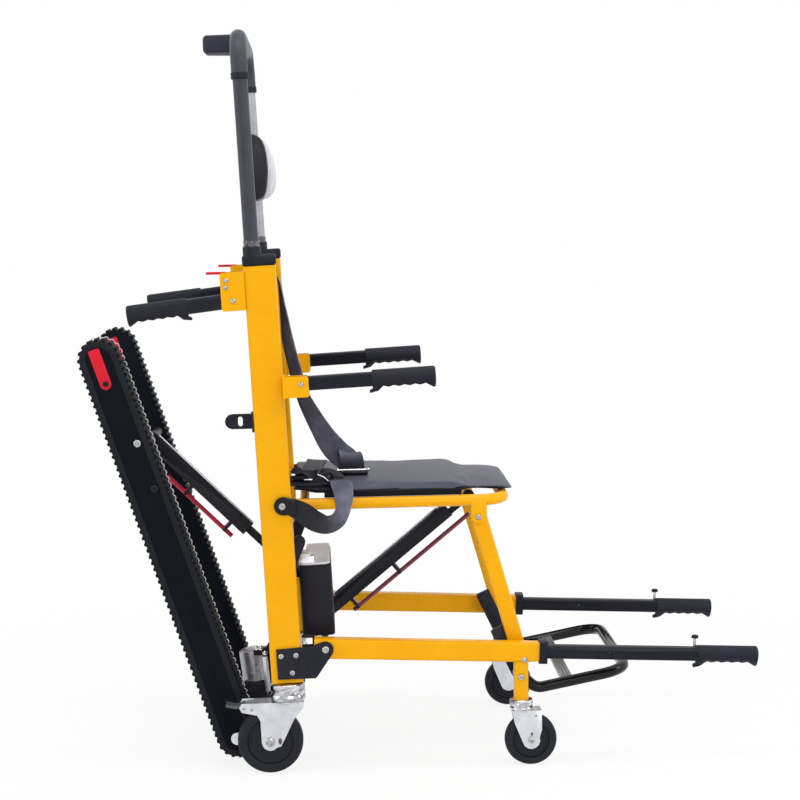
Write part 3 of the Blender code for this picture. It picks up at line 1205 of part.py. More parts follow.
def belt_point(distance, reach):
    half_turn = math.pi * BELT_PITCH
    whole = 2 * (TRACK_LENGTH + half_turn)
    distance = distance % whole
    if distance < TRACK_LENGTH:
        return (reach, distance)
    distance -= TRACK_LENGTH
    if distance < half_turn:
        turn = distance / BELT_PITCH
        return (reach * math.cos(turn), TRACK_LENGTH + reach * math.sin(turn))
    distance -= half_turn
    if distance < TRACK_LENGTH:
        return (-reach, TRACK_LENGTH - distance)
    turn = math.pi + (distance - TRACK_LENGTH) / BELT_PITCH
    return (reach * math.cos(turn), reach * math.sin(turn))


def track_belt():
    low = -TRACK_OUTER + TRACK_PLATE + BELT_SIDE_GAP
    high = -TRACK_INNER - TRACK_PLATE - BELT_SIDE_GAP
    pitch = 2 * (TRACK_LENGTH + math.pi * BELT_PITCH) / BELT_TEETH
    outer, inner = [], []
    for k in range(BELT_TEETH):
        start = k * pitch
        flank = (TOOTH_ROOT - TOOTH_TIP) / 2
        edges = ((0.0, BELT_ROOT), (flank, BELT_TIP), (flank + TOOTH_TIP, BELT_TIP), (TOOTH_ROOT, BELT_ROOT))
        outer.append([belt_point(start + part * pitch, reach) for part, reach in edges])
        inner.append(belt_point(start, BELT_INNER))
    bm = bmesh.new()
    rims = []
    for level in (low, high):
        tops = [[bm.verts.new((x, level, z)) for x, z in group] for group in outer]
        roots = [bm.verts.new((x, level, z)) for x, z in inner]
        rims.append((tops, roots))
    for k in range(BELT_TEETH):
        n = (k + 1) % BELT_TEETH
        for tops, roots in rims:
            bm.faces.new(tops[k] + [tops[n][0], roots[n], roots[k]])
        first = rims[0][0][k] + [rims[0][0][n][0]]
        second = rims[1][0][k] + [rims[1][0][n][0]]
        for i in range(len(first) - 1):
            bm.faces.new((first[i], first[i + 1], second[i + 1], second[i]))
        bm.faces.new((rims[0][1][k], rims[0][1][n], rims[1][1][n], rims[1][1][k]))
    return solid(bm, TRACK_FRAME)


def drive_axle():
    piece = cross_rod(TRACK_X, TRACK_Z, -AXLE_HUB_END, AXLE_HUB_END, DRIVE_AXLE)
    edge = TRACK_PLATE + PULLEY_SIDE_GAP
    for sign in (-1, 1):
        fuse(piece, cross_rod(TRACK_X, TRACK_Z, *sorted((sign * (TRACK_OUTER - edge), sign * (TRACK_INNER + edge))),
                              PULLEY_RADIUS, 16))
        fuse(piece, cross_rod(TRACK_X, TRACK_Z, *sorted((sign * (TRACK_OUTER + SEAT_GAP), sign * AXLE_HUB_END)),
                              AXLE_HUB, 16))
    return piece


def idler():
    top = TRACK_FRAME @ Vector((0.0, 0.0, TRACK_LENGTH))
    edge = TRACK_PLATE + PULLEY_SIDE_GAP
    half = (TRACK_OUTER - TRACK_INNER) / 2 - edge
    bore = IDLER_PIN + RUN_GAP
    profile = [(bore, half), (PULLEY_RADIUS, half), (PULLEY_RADIUS, -half), (bore, -half)]
    middle = -(TRACK_OUTER + TRACK_INNER) / 2
    frame = Matrix.Translation((top.x, middle, top.z)) @ Matrix.Rotation(math.radians(90), 4, "X")
    return lathe(profile, frame, WHEEL_STEPS)


def drive_bracket():
    half = UPRIGHT_INNER - SEAT_GAP
    piece = cross_rod(DRIVE_TUBE_X, DRIVE_TUBE_Z, -half, half, DRIVE_TUBE_RADIUS)
    outline = link_outline(TRACK_X, TRACK_Z, DRIVE_BOSS, DRIVE_TUBE_X, DRIVE_TUBE_Z, DRIVE_TOP_BOSS)
    for sign in (-1, 1):
        fuse(piece, prism(outline, *sorted((sign * DRIVE_PLATE_INNER, sign * DRIVE_PLATE_OUTER))))
    wide = DRIVE_PLATE_OUTER + OVERCUT
    return cut(piece, cross_bore(TRACK_X, TRACK_Z, -wide, wide, DRIVE_AXLE))


def gear_motor():
    inner = -DRIVE_PLATE_OUTER - SEAT_GAP
    low = Vector((MOTOR_X, MOTOR_Y, MOTOR_LOW_Z))
    up = Vector((-math.sin(MOTOR_LEAN), 0.0, math.cos(MOTOR_LEAN)))
    piece = rod(low, low + up * MOTOR_LENGTH, MOTOR_RADIUS, 20)
    boss = arc(TRACK_X, TRACK_Z, DRIVE_BOSS, math.radians(10), math.radians(-200), 9)
    gearbox = soften(prism(boss + list(GEARBOX_OUTLINE), GEARBOX_OUTER, inner), 0.002)
    fuse(piece, gearbox)
    return cut(piece, cross_bore(TRACK_X, TRACK_Z, GEARBOX_OUTER - OVERCUT, inner + OVERCUT, DRIVE_AXLE))


def strut_eye(piece, half, eye, bore):
    proud = half + RUN_GAP
    fuse(piece, cross_rod(0.0, 0.0, -proud, proud, eye, 16))
    wide = half + OVERCUT
    return cut(piece, cross_bore(0.0, 0.0, -wide, wide, bore))


def strut_channel(frame, start, length, low, high, half, eye, bore):
    outline = [(start, low), (length, low), (length, high), (start, high)]
    piece = prism(outline, -half, half)
    inside = half - STRUT_WALL
    hollow = [(start + 2 * eye, low - OVERCUT), (length + OVERCUT, low - OVERCUT),
              (length + OVERCUT, high - STRUT_WALL), (start + 2 * eye, high - STRUT_WALL)]
    strut_eye(cut(piece, prism(hollow, -inside, inside)), half, eye, bore)
    piece.data.transform(frame)
    return piece


def strut_slider(frame, length, half, half_tall, eye, bore):
    outline = [(0.0, -half_tall), (length, -half_tall), (length, half_tall), (0.0, half_tall)]
    piece = strut_eye(prism(outline, -half, half), half, eye, bore)
    piece.data.transform(frame)
    return piece


def release_bar(frame, ends, posts, level, channel_low, half):
    spots = [frame @ Vector((place, 0.0, level)) for place in ends]
    piece = rod(spots[0], spots[1], RELEASE_ROD, 10)
    low = level - RELEASE_ROD / 2
    high = channel_low - SEAT_GAP
    for place in posts:
        left, right = place - RELEASE_POST_HALF, place + RELEASE_POST_HALF
        fuse(piece, prism([(left, low), (right, low), (right, high), (left, high)], -half, half, frame))
    return piece


def battery_block(low, high, trim):
    middle = ((BATTERY_BACK_V + BATTERY_FRONT_V) / 2, (BATTERY_RIGHT + BATTERY_LEFT) / 2)
    deep = BATTERY_FRONT_V - BATTERY_BACK_V - trim
    wide = BATTERY_LEFT - BATTERY_RIGHT - trim
    piece = block(deep, wide, BATTERY_CORNER, BATTERY_EDGE / 2, low, high, UPRIGHT_FRAME, middle)
    back, front = BATTERY_BACK_V - OVERCUT, BATTERY_BACK_V + BATTERY_NOTCH + trim / 2
    outline = [(back, low - OVERCUT), (front, low - OVERCUT), (front, high + OVERCUT), (back, high + OVERCUT)]
    start = BATTERY_RIGHT + BATTERY_NOTCH_START - trim / 2
    return cut(piece, prism(outline, start, BATTERY_LEFT + OVERCUT, UPRIGHT_FRAME))


def battery_case():
    return battery_block(BATTERY_LOW_U, BATTERY_SPLIT_U, 0.0)


def battery_cap():
    piece = battery_block(BATTERY_SPLIT_U + SEAT_GAP, BATTERY_TOP_U, BATTERY_GROOVE)
    low, high = (BATTERY_SPLIT_U + BATTERY_TOP_U) / 2, BATTERY_TOP_U + SOCKET_TALL
    back, front = BATTERY_BACK_V + SOCKET_BACK, BATTERY_BACK_V + SOCKET_FRONT
    outline = [(back, low), (front, low), (front, high), (back, high)]
    return fuse(piece, prism(outline, BATTERY_RIGHT + SOCKET_NEAR, BATTERY_RIGHT + SOCKET_FAR, UPRIGHT_FRAME))


def back_sling():
    reach = BACK_TUBE_RADIUS + SEAT_GAP + SLING_THICK / 2
    path = [(BACK_TUBE_V + reach, UPPER_TUBE_U - SLING_HEM)]
    path += arc(BACK_TUBE_V, UPPER_TUBE_U, reach, 0.0, math.pi, 8)
    for k in range(1, 6):
        part = k / 6
        level = UPPER_TUBE_U + (MIDDLE_TUBE_U - UPPER_TUBE_U) * part
        path.append((BACK_TUBE_V - reach + SLING_SAG * math.sin(math.pi * part), level))
    path += arc(BACK_TUBE_V, MIDDLE_TUBE_U, reach, math.pi, 2 * math.pi, 8)
    path.append((BACK_TUBE_V + reach, MIDDLE_TUBE_U + SLING_HEM))
    stations = [(UPRIGHT_FRAME @ Vector((v, 0.0, u)), (0.0, 1.0, 0.0)) for v, u in path]
    return ribbon(stations, 2 * SLING_HALF_WIDTH, SLING_THICK)


def shoulder_strap():
    reach = BACK_TUBE_RADIUS + 2 * SEAT_GAP + SLING_THICK + WEB_THICK / 2 + SEAT_GAP
    loop = [(BACK_TUBE_V - reach, UPPER_TUBE_U - SLING_HEM)]
    loop += arc(BACK_TUBE_V, UPPER_TUBE_U, reach, math.pi, math.radians(55), 8)
    stations = [(UPRIGHT_FRAME @ Vector((v, STRAP_Y, u)), 0.0) for v, u in loop]
    stations += STRAP_FALL
    path = curve_through([place for place, _ in stations], 1)
    twists = [math.radians(turn) for _, turn in stations]
    ends = []
    for point, direction, twist in zip(path, tangents(path), twists):
        side = Vector((0.0, 1.0, 0.0))
        flat = direction.cross(side).normalized()
        ends.append((point, side * math.cos(twist) - flat * math.sin(twist)))
    piece = ribbon(ends, WEB_WIDTH, WEB_THICK)
    frame = Matrix.Translation(BUCKLE_PLACE)
    section = rounded(2 * BUCKLE_HALF_LONG, 2 * BUCKLE_HALF_WIDE, BUCKLE_HALF_TALL, 3)
    buckle = bar(section, -BUCKLE_HALF_TALL, BUCKLE_HALF_TALL, "Z", frame)
    return fuse(piece, soften(buckle, BUCKLE_EDGE))


def lap_belt():
    stations = []
    last = len(LAP_PATH) - 1
    for k, place in enumerate(LAP_PATH):
        across = Vector(LAP_ACROSS[k])
        stations.append((Vector(place), across))
        if k < last:
            between = curve_through(LAP_PATH[max(k - 1, 0):k + 3], 2)
            halfway = between[2 * min(k, 1) + 1]
            stations.append((halfway, (across + Vector(LAP_ACROSS[k + 1])) / 2))
    return ribbon(stations, LAP_WIDTH, WEB_THICK)


def centre_on_origin():
    low = min((piece.matrix_world @ Vector(corner)).x for piece in NODES for corner in piece.bound_box)
    high = max((piece.matrix_world @ Vector(corner)).x for piece in NODES for corner in piece.bound_box)
    for piece in NODES:
        piece.location.x -= (low + high) / 2


def main():
    clear_scene()
    yellow = paint("yellow_powder_coat", (0.93, 0.47, 0.01), 0.38, 0.0)
    black = paint("black_powder_coat", (0.018, 0.018, 0.02), 0.42, 0.0)
    plastic = paint("black_plastic", (0.022, 0.022, 0.024), 0.5, 0.0)
    grip_rubber = paint("grip_rubber", (0.016, 0.016, 0.017), 0.7, 0.0)
    red = paint("red_plastic", (0.62, 0.02, 0.03), 0.4, 0.0)
    burgundy = paint("burgundy_coat", (0.28, 0.05, 0.06), 0.4, 0.1)
    zinc = paint("zinc_plate", (0.55, 0.56, 0.57), 0.32, 1.0)
    tyre = paint("tyre_rubber", (0.055, 0.055, 0.058), 0.75, 0.0)
    grey = paint("grey_plastic", (0.22, 0.23, 0.24), 0.45, 0.0)
    pale = paint("pale_foam", (0.55, 0.55, 0.56), 0.8, 0.0)
    leather = paint("dark_leatherette", (0.035, 0.035, 0.04), 0.5, 0.0)
    webbing = paint("webbing", (0.04, 0.04, 0.043), 0.85, 0.0)
    rubber = paint("track_rubber", (0.03, 0.03, 0.032), 0.7, 0.0)

    node(upright(True), "upright_right", yellow)
    node(mirrored(upright(False)), "upright_left", yellow)
    bpy.data.objects.remove(bpy.data.objects["piece"], do_unlink=True)
    node_pair(top_cap(), "top_cap", plastic)
    node(back_tube(UPPER_TUBE_U), "upper_cross_tube", yellow)
    node(back_tube(MIDDLE_TUBE_U), "middle_cross_tube", yellow)
    node(lower_tube(), "lower_cross_tube", black)
    node(base_hinge(), "base_hinge", black)
    node(back_sling(), "back_sling", webbing)

    node(push_handle(), "push_handle", plastic)
    pad_back = HEAD_SHELL_FRONT_X + SEAT_GAP
    node(head_cushion(pad_back, HEAD_PAD_FRONT_X - 0.003, HEAD_PAD_INSET, 0.006, 0.003), "headrest_pad", pale)
    node(control_box(), "control_box", plastic)
    node(control_switch(), "control_switch", red, (ROCKER_X, 0.0, BOX_HIGH_Z))

    frame = placed(math.pi - REAR_HANDLE_DROP, REAR_HANDLE_X, REAR_HANDLE_Z, -FRAME_Y)
    handle = hinged_handle(frame, REAR_HANDLE_HALF, REAR_GRIP_START, REAR_GRIP_END, 1)
    node_pair(handle, "rear_handle", grip_rubber, (REAR_HANDLE_X, -FRAME_Y, REAR_HANDLE_Z))
    node_pair(release_lever(), "release_lever", red, (LEVER_X, -FRAME_Y, LEVER_Z))
    frame = placed(-ARM_RISE, ARM_X, ARM_Z, -ARM_Y)
    handle = hinged_handle(frame, ARM_HALF, ARM_GRIP_START, ARM_GRIP_END, -1)
    node_pair(handle, "armrest", grip_rubber, (ARM_X, -ARM_Y, ARM_Z))

    node(seat_frame(), "seat_frame", yellow, (SEAT_PIVOT_X, 0.0, SEAT_PIVOT_Z))
    node(seat_pad(), "seat_pad", leather, (SEAT_PIVOT_X, 0.0, SEAT_PIVOT_Z))
    node_pair(leg(), "leg", yellow, (LEG_PIVOT_X, -(LEG_INNER + LEG_OUTER) / 2, LEG_PIVOT_Z))
    slope = math.atan2(LEG_PIVOT_Z - RAIL_PIVOT_Z, LEG_PIVOT_X - RAIL_PIVOT_X)
    span = math.hypot(LEG_PIVOT_Z - RAIL_PIVOT_Z, LEG_PIVOT_X - RAIL_PIVOT_X)
    frame = placed(-slope, RAIL_PIVOT_X, RAIL_PIVOT_Z, SEAT_STRUT_Y)
    channel = strut_channel(frame, SEAT_CHANNEL_START, span - SEAT_CHANNEL_SHORT, SEAT_CHANNEL_LOW,
                            SEAT_CHANNEL_HIGH, SEAT_CHANNEL_HALF, STRUT_EYE, BASE_AXLE)
    node(channel, "seat_strut_channel", black, frame.translation)
    release = release_bar(frame, SEAT_RELEASE_ENDS, SEAT_RELEASE_POSTS, SEAT_RELEASE_LEVEL, SEAT_CHANNEL_LOW,
                          SEAT_CHANNEL_HALF)
    node(release, "seat_release_bar", burgundy, frame.translation)
    frame = placed(math.pi - slope, LEG_PIVOT_X, LEG_PIVOT_Z, SEAT_STRUT_Y)
    slider = strut_slider(frame, span - SEAT_SLIDER_SHORT, SEAT_SLIDER_HALF, SEAT_SLIDER_HALF_TALL, STRUT_EYE,
                          HINGE_PIN)
    node(slider, "seat_strut_slider", zinc, frame.translation)

    node_pair(rail(), "rail", yellow, (RAIL_PIVOT_X, -FRAME_Y, RAIL_PIVOT_Z))
    node_pair(front_handle(), "front_handle", grip_rubber, RAIL_FRAME @ Vector((FRONT_GRIP_START, -FRAME_Y, 0.0)))
    node_pair(lock_knob(), "lock_knob", zinc, RAIL_FRAME @ Vector((KNOB_ALONG, -FRAME_Y, KNOB_HEAD_LOW)))
    node(footrest(), "footrest", black, (FOOT_PIVOT_X, 0.0, FOOT_PIVOT_Z))
    node_pair(front_fork(), "front_fork", zinc, (POST_X, -FRAME_Y, FRONT_CROWN_TOP))
    wheel_x = POST_X - FRONT_TRAIL
    wheel = caster_wheel(FRONT_WHEEL_RADIUS, FRONT_WHEEL_WIDE, FRONT_HUB, wheel_x, FRONT_WHEEL_RADIUS)
    node_pair(wheel, "front_wheel", tyre, (wheel_x, -FRAME_Y, FRONT_WHEEL_RADIUS))
    node_pair(rear_fork(), "rear_fork", zinc, (0.0, -FRAME_Y, REAR_CROWN_TOP))
    wheel = caster_wheel(REAR_WHEEL_RADIUS, REAR_WHEEL_WIDE, REAR_HUB, -REAR_TRAIL, REAR_WHEEL_RADIUS)
    node_pair(wheel, "rear_wheel", tyre, (-REAR_TRAIL, -FRAME_Y, REAR_WHEEL_RADIUS))
    node_pair(brake_pedal(), "brake_pedal", plastic, (PEDAL_X, -FRAME_Y, PEDAL_Z))

    axle = (TRACK_X, 0.0, TRACK_Z)
    node_pair(track_housing(), "track_housing", plastic, axle)
    node_pair(track_belt(), "track_belt", rubber, axle)
    node(drive_axle(), "drive_axle", zinc, axle)
    top = TRACK_FRAME @ Vector((0.0, -(TRACK_OUTER + TRACK_INNER) / 2, TRACK_LENGTH))
    node_pair(idler(), "idler", plastic, top)
    half = TRACK_INNER - SEAT_GAP
    node(cross_rod(TRACK_TUBE.x, TRACK_TUBE.z, -half, half, TRACK_TUBE_RADIUS), "track_cross_tube", black, axle)
    slope = math.atan2(LOWER_TUBE_Z - TRACK_TUBE.z, LOWER_TUBE_X - TRACK_TUBE.x)
    span = math.hypot(LOWER_TUBE_Z - TRACK_TUBE.z, LOWER_TUBE_X - TRACK_TUBE.x)
    frame = placed(-slope, TRACK_TUBE.x, TRACK_TUBE.z)
    channel = strut_channel(frame, SEAT_CHANNEL_START, span - TRACK_CHANNEL_SHORT, TRACK_CHANNEL_LOW,
                            TRACK_CHANNEL_HIGH, TRACK_CHANNEL_HALF, TRACK_EYE, TRACK_TUBE_RADIUS)
    node(channel, "track_strut_channel", black, frame.translation)
    release = release_bar(frame, TRACK_RELEASE_ENDS, TRACK_RELEASE_POSTS, TRACK_RELEASE_LEVEL, TRACK_CHANNEL_LOW,
                          TRACK_CHANNEL_HALF)
    node(release, "track_release_bar", burgundy, frame.translation)
    frame = placed(math.pi - slope, LOWER_TUBE_X, LOWER_TUBE_Z)
    slider = strut_slider(frame, span - TRACK_SLIDER_SHORT, TRACK_SLIDER_HALF, TRACK_SLIDER_HALF_TALL, LOWER_EYE,
                          LOWER_TUBE_RADIUS)
    node(slider, "track_strut_slider", zinc, frame.translation)

    node(drive_bracket(), "drive_bracket", black)
    node(gear_motor(), "gear_motor", grey)
    node(battery_case(), "battery_case", plastic)
    node(battery_cap(), "battery_cap", grey)
    node(shoulder_strap(), "shoulder_strap", webbing)
    node(lap_belt(), "lap_belt", webbing)
    centre_on_origin()


main()
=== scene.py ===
import json
import math

import bpy
from mathutils import Matrix, Vector
from mathutils.bvhtree import BVHTree

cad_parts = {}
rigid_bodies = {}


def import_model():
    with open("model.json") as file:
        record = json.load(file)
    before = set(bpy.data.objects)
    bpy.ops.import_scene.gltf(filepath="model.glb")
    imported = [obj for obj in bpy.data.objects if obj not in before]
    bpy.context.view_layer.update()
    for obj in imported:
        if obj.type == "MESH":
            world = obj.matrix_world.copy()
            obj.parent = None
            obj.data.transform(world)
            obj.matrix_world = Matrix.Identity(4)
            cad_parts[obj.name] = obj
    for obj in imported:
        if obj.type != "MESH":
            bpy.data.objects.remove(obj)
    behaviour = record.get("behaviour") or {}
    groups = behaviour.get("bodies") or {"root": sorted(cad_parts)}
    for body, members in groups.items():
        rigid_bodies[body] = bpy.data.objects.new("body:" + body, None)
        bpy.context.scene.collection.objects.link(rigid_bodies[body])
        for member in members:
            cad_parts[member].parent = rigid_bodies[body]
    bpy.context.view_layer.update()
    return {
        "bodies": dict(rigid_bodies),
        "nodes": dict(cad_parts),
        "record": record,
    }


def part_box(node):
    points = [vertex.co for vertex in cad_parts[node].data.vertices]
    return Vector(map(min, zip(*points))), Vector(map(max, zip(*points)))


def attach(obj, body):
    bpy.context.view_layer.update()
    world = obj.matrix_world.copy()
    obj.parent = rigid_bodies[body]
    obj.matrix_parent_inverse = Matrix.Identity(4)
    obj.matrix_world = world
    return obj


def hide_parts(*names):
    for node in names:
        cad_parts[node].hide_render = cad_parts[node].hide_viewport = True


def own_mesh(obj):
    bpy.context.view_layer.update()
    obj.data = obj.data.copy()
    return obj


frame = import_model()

nodes = frame["nodes"]
bodyOf = {}
for bodyName, members in frame["record"]["behaviour"]["bodies"].items():
    for member in members:
        bodyOf[member] = bodyName
for piece in bpy.data.objects:
    piece.select_set(False)

# x is counted from the swivel axis of the rear casters, whose wheels trail behind it
trail = 0.035
wheelLow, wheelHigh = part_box("rear_wheel_right")
axisX = (wheelLow.x + wheelHigh.x) / 2 + trail


def placed(degrees, x, z, y=0.0):
    return Matrix.Translation((axisX + x, y, z)) @ Matrix.Rotation(math.radians(degrees), 4, "Y")


def slope(run, rise):
    return -math.degrees(math.atan2(rise, run))


stance = {"upright": (-2.37, 0.0, 0.175), "rail": (2.6, 0.073, 0.238), "track": (-18.15, -0.100, 0.058)}
seatStrut = {"run": 0.299, "rise": 0.242, "foot": (0.073, 0.238, 0.060)}
trackStrut = {"top": (0.022, 0.0, 0.584), "endX": -0.006, "endZ": 0.365}
flat = placed(0.0, 0.0, 0.0)
uprightFrame, railFrame, trackFrame = (placed(*spot) for spot in stance.values())
inRail = railFrame.inverted()
inFlat = flat.inverted()
seatStrutFrame = placed(slope(seatStrut["run"], seatStrut["rise"]), *seatStrut["foot"])
trackTop = inFlat @ trackFrame @ Vector(trackStrut["top"])
trackStrutFrame = placed(slope(trackStrut["endX"] - trackTop.x, trackStrut["endZ"] - trackTop.z),
                         trackTop.x, trackTop.z)
seam = 1e-5


# small shop tools

def added(name, data):
    piece = bpy.data.objects.new(name, data)
    bpy.context.collection.objects.link(piece)
    return piece


def onlySelect(piece):
    if bpy.context.object and bpy.context.object.mode != "OBJECT":
        bpy.ops.object.mode_set(mode="OBJECT")
    bpy.ops.object.select_all(action="DESELECT")
    piece.select_set(True)
    bpy.context.view_layer.objects.active = piece


def editAll(piece):
    onlySelect(piece)
    bpy.ops.object.mode_set(mode="EDIT")
    bpy.ops.mesh.select_mode(type="VERT")
    bpy.ops.mesh.select_all(action="SELECT")


def endEdit():
    bpy.ops.object.mode_set(mode="OBJECT")


def apply(piece, kind, **settings):
    step = piece.modifiers.new(kind.lower(), kind)
    for key, value in settings.items():
        setattr(step, key, value)
    onlySelect(piece)
    bpy.ops.object.modifier_apply(modifier=step.name)
    return piece


def fresh(name, points, edges=(), faces=()):
    mesh = bpy.data.meshes.new(name)
    mesh.from_pydata([tuple(point) for point in points], list(edges), list(faces))
    return added(name, mesh)


def smooth(piece, degrees=40):
    onlySelect(piece)
    bpy.ops.object.shade_smooth_by_angle(angle=math.radians(degrees))
    return piece


def outward(piece):
    editAll(piece)
    bpy.ops.mesh.remove_doubles(threshold=seam)
    bpy.ops.mesh.normals_make_consistent(inside=False)
    endEdit()
    return piece


def rounded(piece, width, segments=2, degrees=35):
    apply(piece, "BEVEL", width=width, segments=segments, limit_method="ANGLE",
          angle_limit=math.radians(degrees), miter_outer="MITER_ARC", use_clamp_overlap=True)
    return smooth(piece)


def cleanCopy(nodeName):
    piece = added(nodeName + ".soft", nodes[nodeName].data.copy())
    editAll(piece)
    bpy.ops.mesh.remove_doubles(threshold=seam)
    bpy.ops.mesh.dissolve_limited(angle_limit=math.radians(0.5))
    endEdit()
    return piece


def box(name, size, centre, edge, segments=3, place=flat, lean=0.0):
    bpy.ops.mesh.primitive_cube_add(size=1.0)
    piece = bpy.context.object
    piece.name = name
    piece.data.name = name
    piece.data.transform(Matrix.Diagonal((*size, 1.0)))
    editAll(piece)
    bpy.ops.mesh.bevel(offset=edge, segments=segments, affect="EDGES")
    endEdit()
    piece.data.transform(place @ Matrix.Translation(centre) @ Matrix.Rotation(math.radians(lean), 4, "Y"))
    return smooth(piece)


def plate(name, outline, low, high, edge=0.0006, place=flat):
    piece = fresh(name, [(x, low, z) for x, z in outline], faces=[range(len(outline))])
    editAll(piece)
    bpy.ops.mesh.extrude_region_move(TRANSFORM_OT_translate={"value": (0.0, high - low, 0.0)})
    endEdit()
    outward(piece)
    piece.data.transform(place)
    return rounded(piece, edge, 2, 50) if edge else smooth(piece)


def turned(name, profile, place, steps=48, degrees=35):
    points = [(radius, 0.0, height) for radius, height in profile]
    edges = [(k, k + 1) for k in range(len(points) - 1)]
    if profile[0][0] > 0.0:
        edges.append((len(points) - 1, 0))
    piece = fresh(name, points, edges)
    editAll(piece)
    bpy.ops.mesh.spin(steps=steps, angle=2 * math.pi, center=(0, 0, 0), axis=(0, 0, 1))
    endEdit()
    outward(piece)
    piece.data.transform(place)
    return smooth(piece, degrees)


def loft(name, rings, place=None, closed=False, degrees=40):
    count = len(rings[0])
    points = [point for ring in rings for point in ring]
    faces = []
    last = len(rings) if closed else len(rings) - 1
    for k in range(last):
        here, there = k * count, ((k + 1) % len(rings)) * count
        for i in range(count):
            j = (i + 1) % count
            faces.append((here + i, here + j, there + j, there + i))
    if not closed:
        faces.append(range(count))
        faces.append(range((len(rings) - 1) * count, len(rings) * count))
    piece = fresh(name, points, faces=faces)
    outward(piece)
    if place is not None:
        piece.data.transform(place)
    return smooth(piece, degrees)


def arc(x, z, radius, start, sweep, steps):
    turns = [math.radians(start + sweep * k / steps) for k in range(steps + 1)]
    return [(x + radius * math.cos(turn), z + radius * math.sin(turn)) for turn in turns]


def scaled(profile, radius):
    return [(radius * share, level) for share, level in profile]


def filleted(points, radius, steps=10):
    points = [Vector(point) for point in points]
    path = [points[0]]
    for before, corner, after in zip(points, points[1:], points[2:]):
        one = (before - corner).normalized()
        two = (after - corner).normalized()
        half = one.angle(two) / 2
        centre = corner + (one + two).normalized() * radius / math.sin(half)
        start = (corner + one * radius / math.tan(half) - centre).normalized()
        end = (corner + two * radius / math.tan(half) - centre).normalized()
        path += [centre + start.slerp(end, k / steps) * radius for k in range(steps + 1)]
    return path + [points[-1]]


def tangents(path):
    last = len(path) - 1
    return [(path[min(k + 1, last)] - path[max(k - 1, 0)]).normalized() for k in range(len(path))]


def curveThrough(points, parts):
    points = [Vector(point) for point in points]
    whole = [points[0]]
    for k in range(len(points) - 1):
        before, after = points[max(k - 1, 0)], points[min(k + 2, len(points) - 1)]
        start, end = points[k], points[k + 1]
        for step in range(1, parts + 1):
            t = step / parts
            one, two = (end - before) / 2, (after - start) / 2
            whole.append(start * (2 * t ** 3 - 3 * t ** 2 + 1) + one * (t ** 3 - 2 * t ** 2 + t)
                         + end * (3 * t ** 2 - 2 * t ** 3) + two * (t ** 3 - t ** 2))
    return whole


def between(values, parts):   # even steps from each value to the next
    whole = [values[0]]
    for one, two in zip(values, values[1:]):
        whole += [one + (two - one) * step / parts for step in range(1, parts + 1)]
    return whole


def tube(name, path, radius, place=flat, resolution=6, cyclic=False):
    line = bpy.data.curves.new(name, "CURVE")
    line.dimensions = "3D"
    line.bevel_depth = radius
    line.bevel_resolution = resolution
    line.use_fill_caps = not cyclic
    spline = line.splines.new("POLY")
    spline.points.add(len(path) - 1)
    for spot, point in zip(spline.points, path):
        spot.co = (*(place @ Vector(point)), 1.0)
    spline.use_cyclic_u = cyclic
    onlySelect(added(name, line))
    bpy.ops.object.convert(target="MESH")
    return smooth(outward(bpy.context.object), 50)


def twin(piece, name):
    mesh = piece.data.copy()
    mesh.transform(Matrix.Scale(-1, 4, (0, 1, 0)))
    mesh.flip_normals()
    return added(name, mesh)


def join(name, pieces):
    onlySelect(pieces[0])
    for piece in pieces[1:]:
        piece.select_set(True)
    bpy.ops.object.join()
    whole = bpy.context.object
    whole.name = name
    whole.data.name = name
    return whole


def dress(piece, finish):
    piece.data.materials.clear()
    piece.data.materials.append(finishes[finish])
    return piece


def dressFaces(piece, finish, test):
    piece.data.materials.append(finishes[finish])
    slot = len(piece.data.materials) - 1
    for face in piece.data.polygons:
        if test(face.center):
            face.material_index = slot
    return piece


def near(x, z, reach):
    centre = Vector((x, z))
    return lambda spot: (Vector(((inFlat @ spot).x, spot.z)) - centre).length < reach


far = 9.0
anywhere = (-far, far)


def inside(place, x=anywhere, y=anywhere, z=anywhere):
    back = place.inverted()
    return lambda spot: all(low < value < high for value, (low, high) in zip(back @ spot, (x, y, z)))


def sided(name):
    return [name.replace("*", side) for side in ("right", "left")] if "*" in name else [name]


trees = {}


def faceY(nodeName, x, z, side=-1):
    if nodeName not in trees:
        mesh = nodes[nodeName].data
        trees[nodeName] = BVHTree.FromPolygons([vert.co for vert in mesh.vertices],
                                               [face.vertices for face in mesh.polygons])
    spot = trees[nodeName].ray_cast(Vector((axisX + x, side, z)), Vector((0.0, -side, 0.0)))[0]
    return spot.y


def settle(piece, body, finish=None, stands=()):
    if finish:
        dress(piece, finish)
    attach(piece, body)
    if stands:
        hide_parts(*stands)
    return piece


def pair(right, name, body, finish=None, stands=None):
    if finish:
        dress(right, finish)
    left = twin(right, name + ".left")
    right.name = name + ".right"
    for piece, side in ((right, "_right"), (left, "_left")):
        rider = body if body in frame["bodies"] else body + side
        settle(piece, rider, None, [stands + side] if stands else ())
    return right, left


# finishes

finishes = {}


def feed(tree, inputs, values):   # a socket is linked, anything else is set
    for key, value in values.items():
        socket = inputs[key.replace("_", " ") if isinstance(key, str) else key]
        if isinstance(value, bpy.types.NodeSocket):
            tree.links.new(value, socket)
        else:
            socket.default_value = value


def node(tree, kind, setup=None, numbered=None, **named):
    made = tree.nodes.new("ShaderNode" + kind)
    for key, value in (setup or {}).items():
        setattr(made, key, value)
    feed(tree, made.inputs, {**(numbered or {}), **named})
    return made.outputs


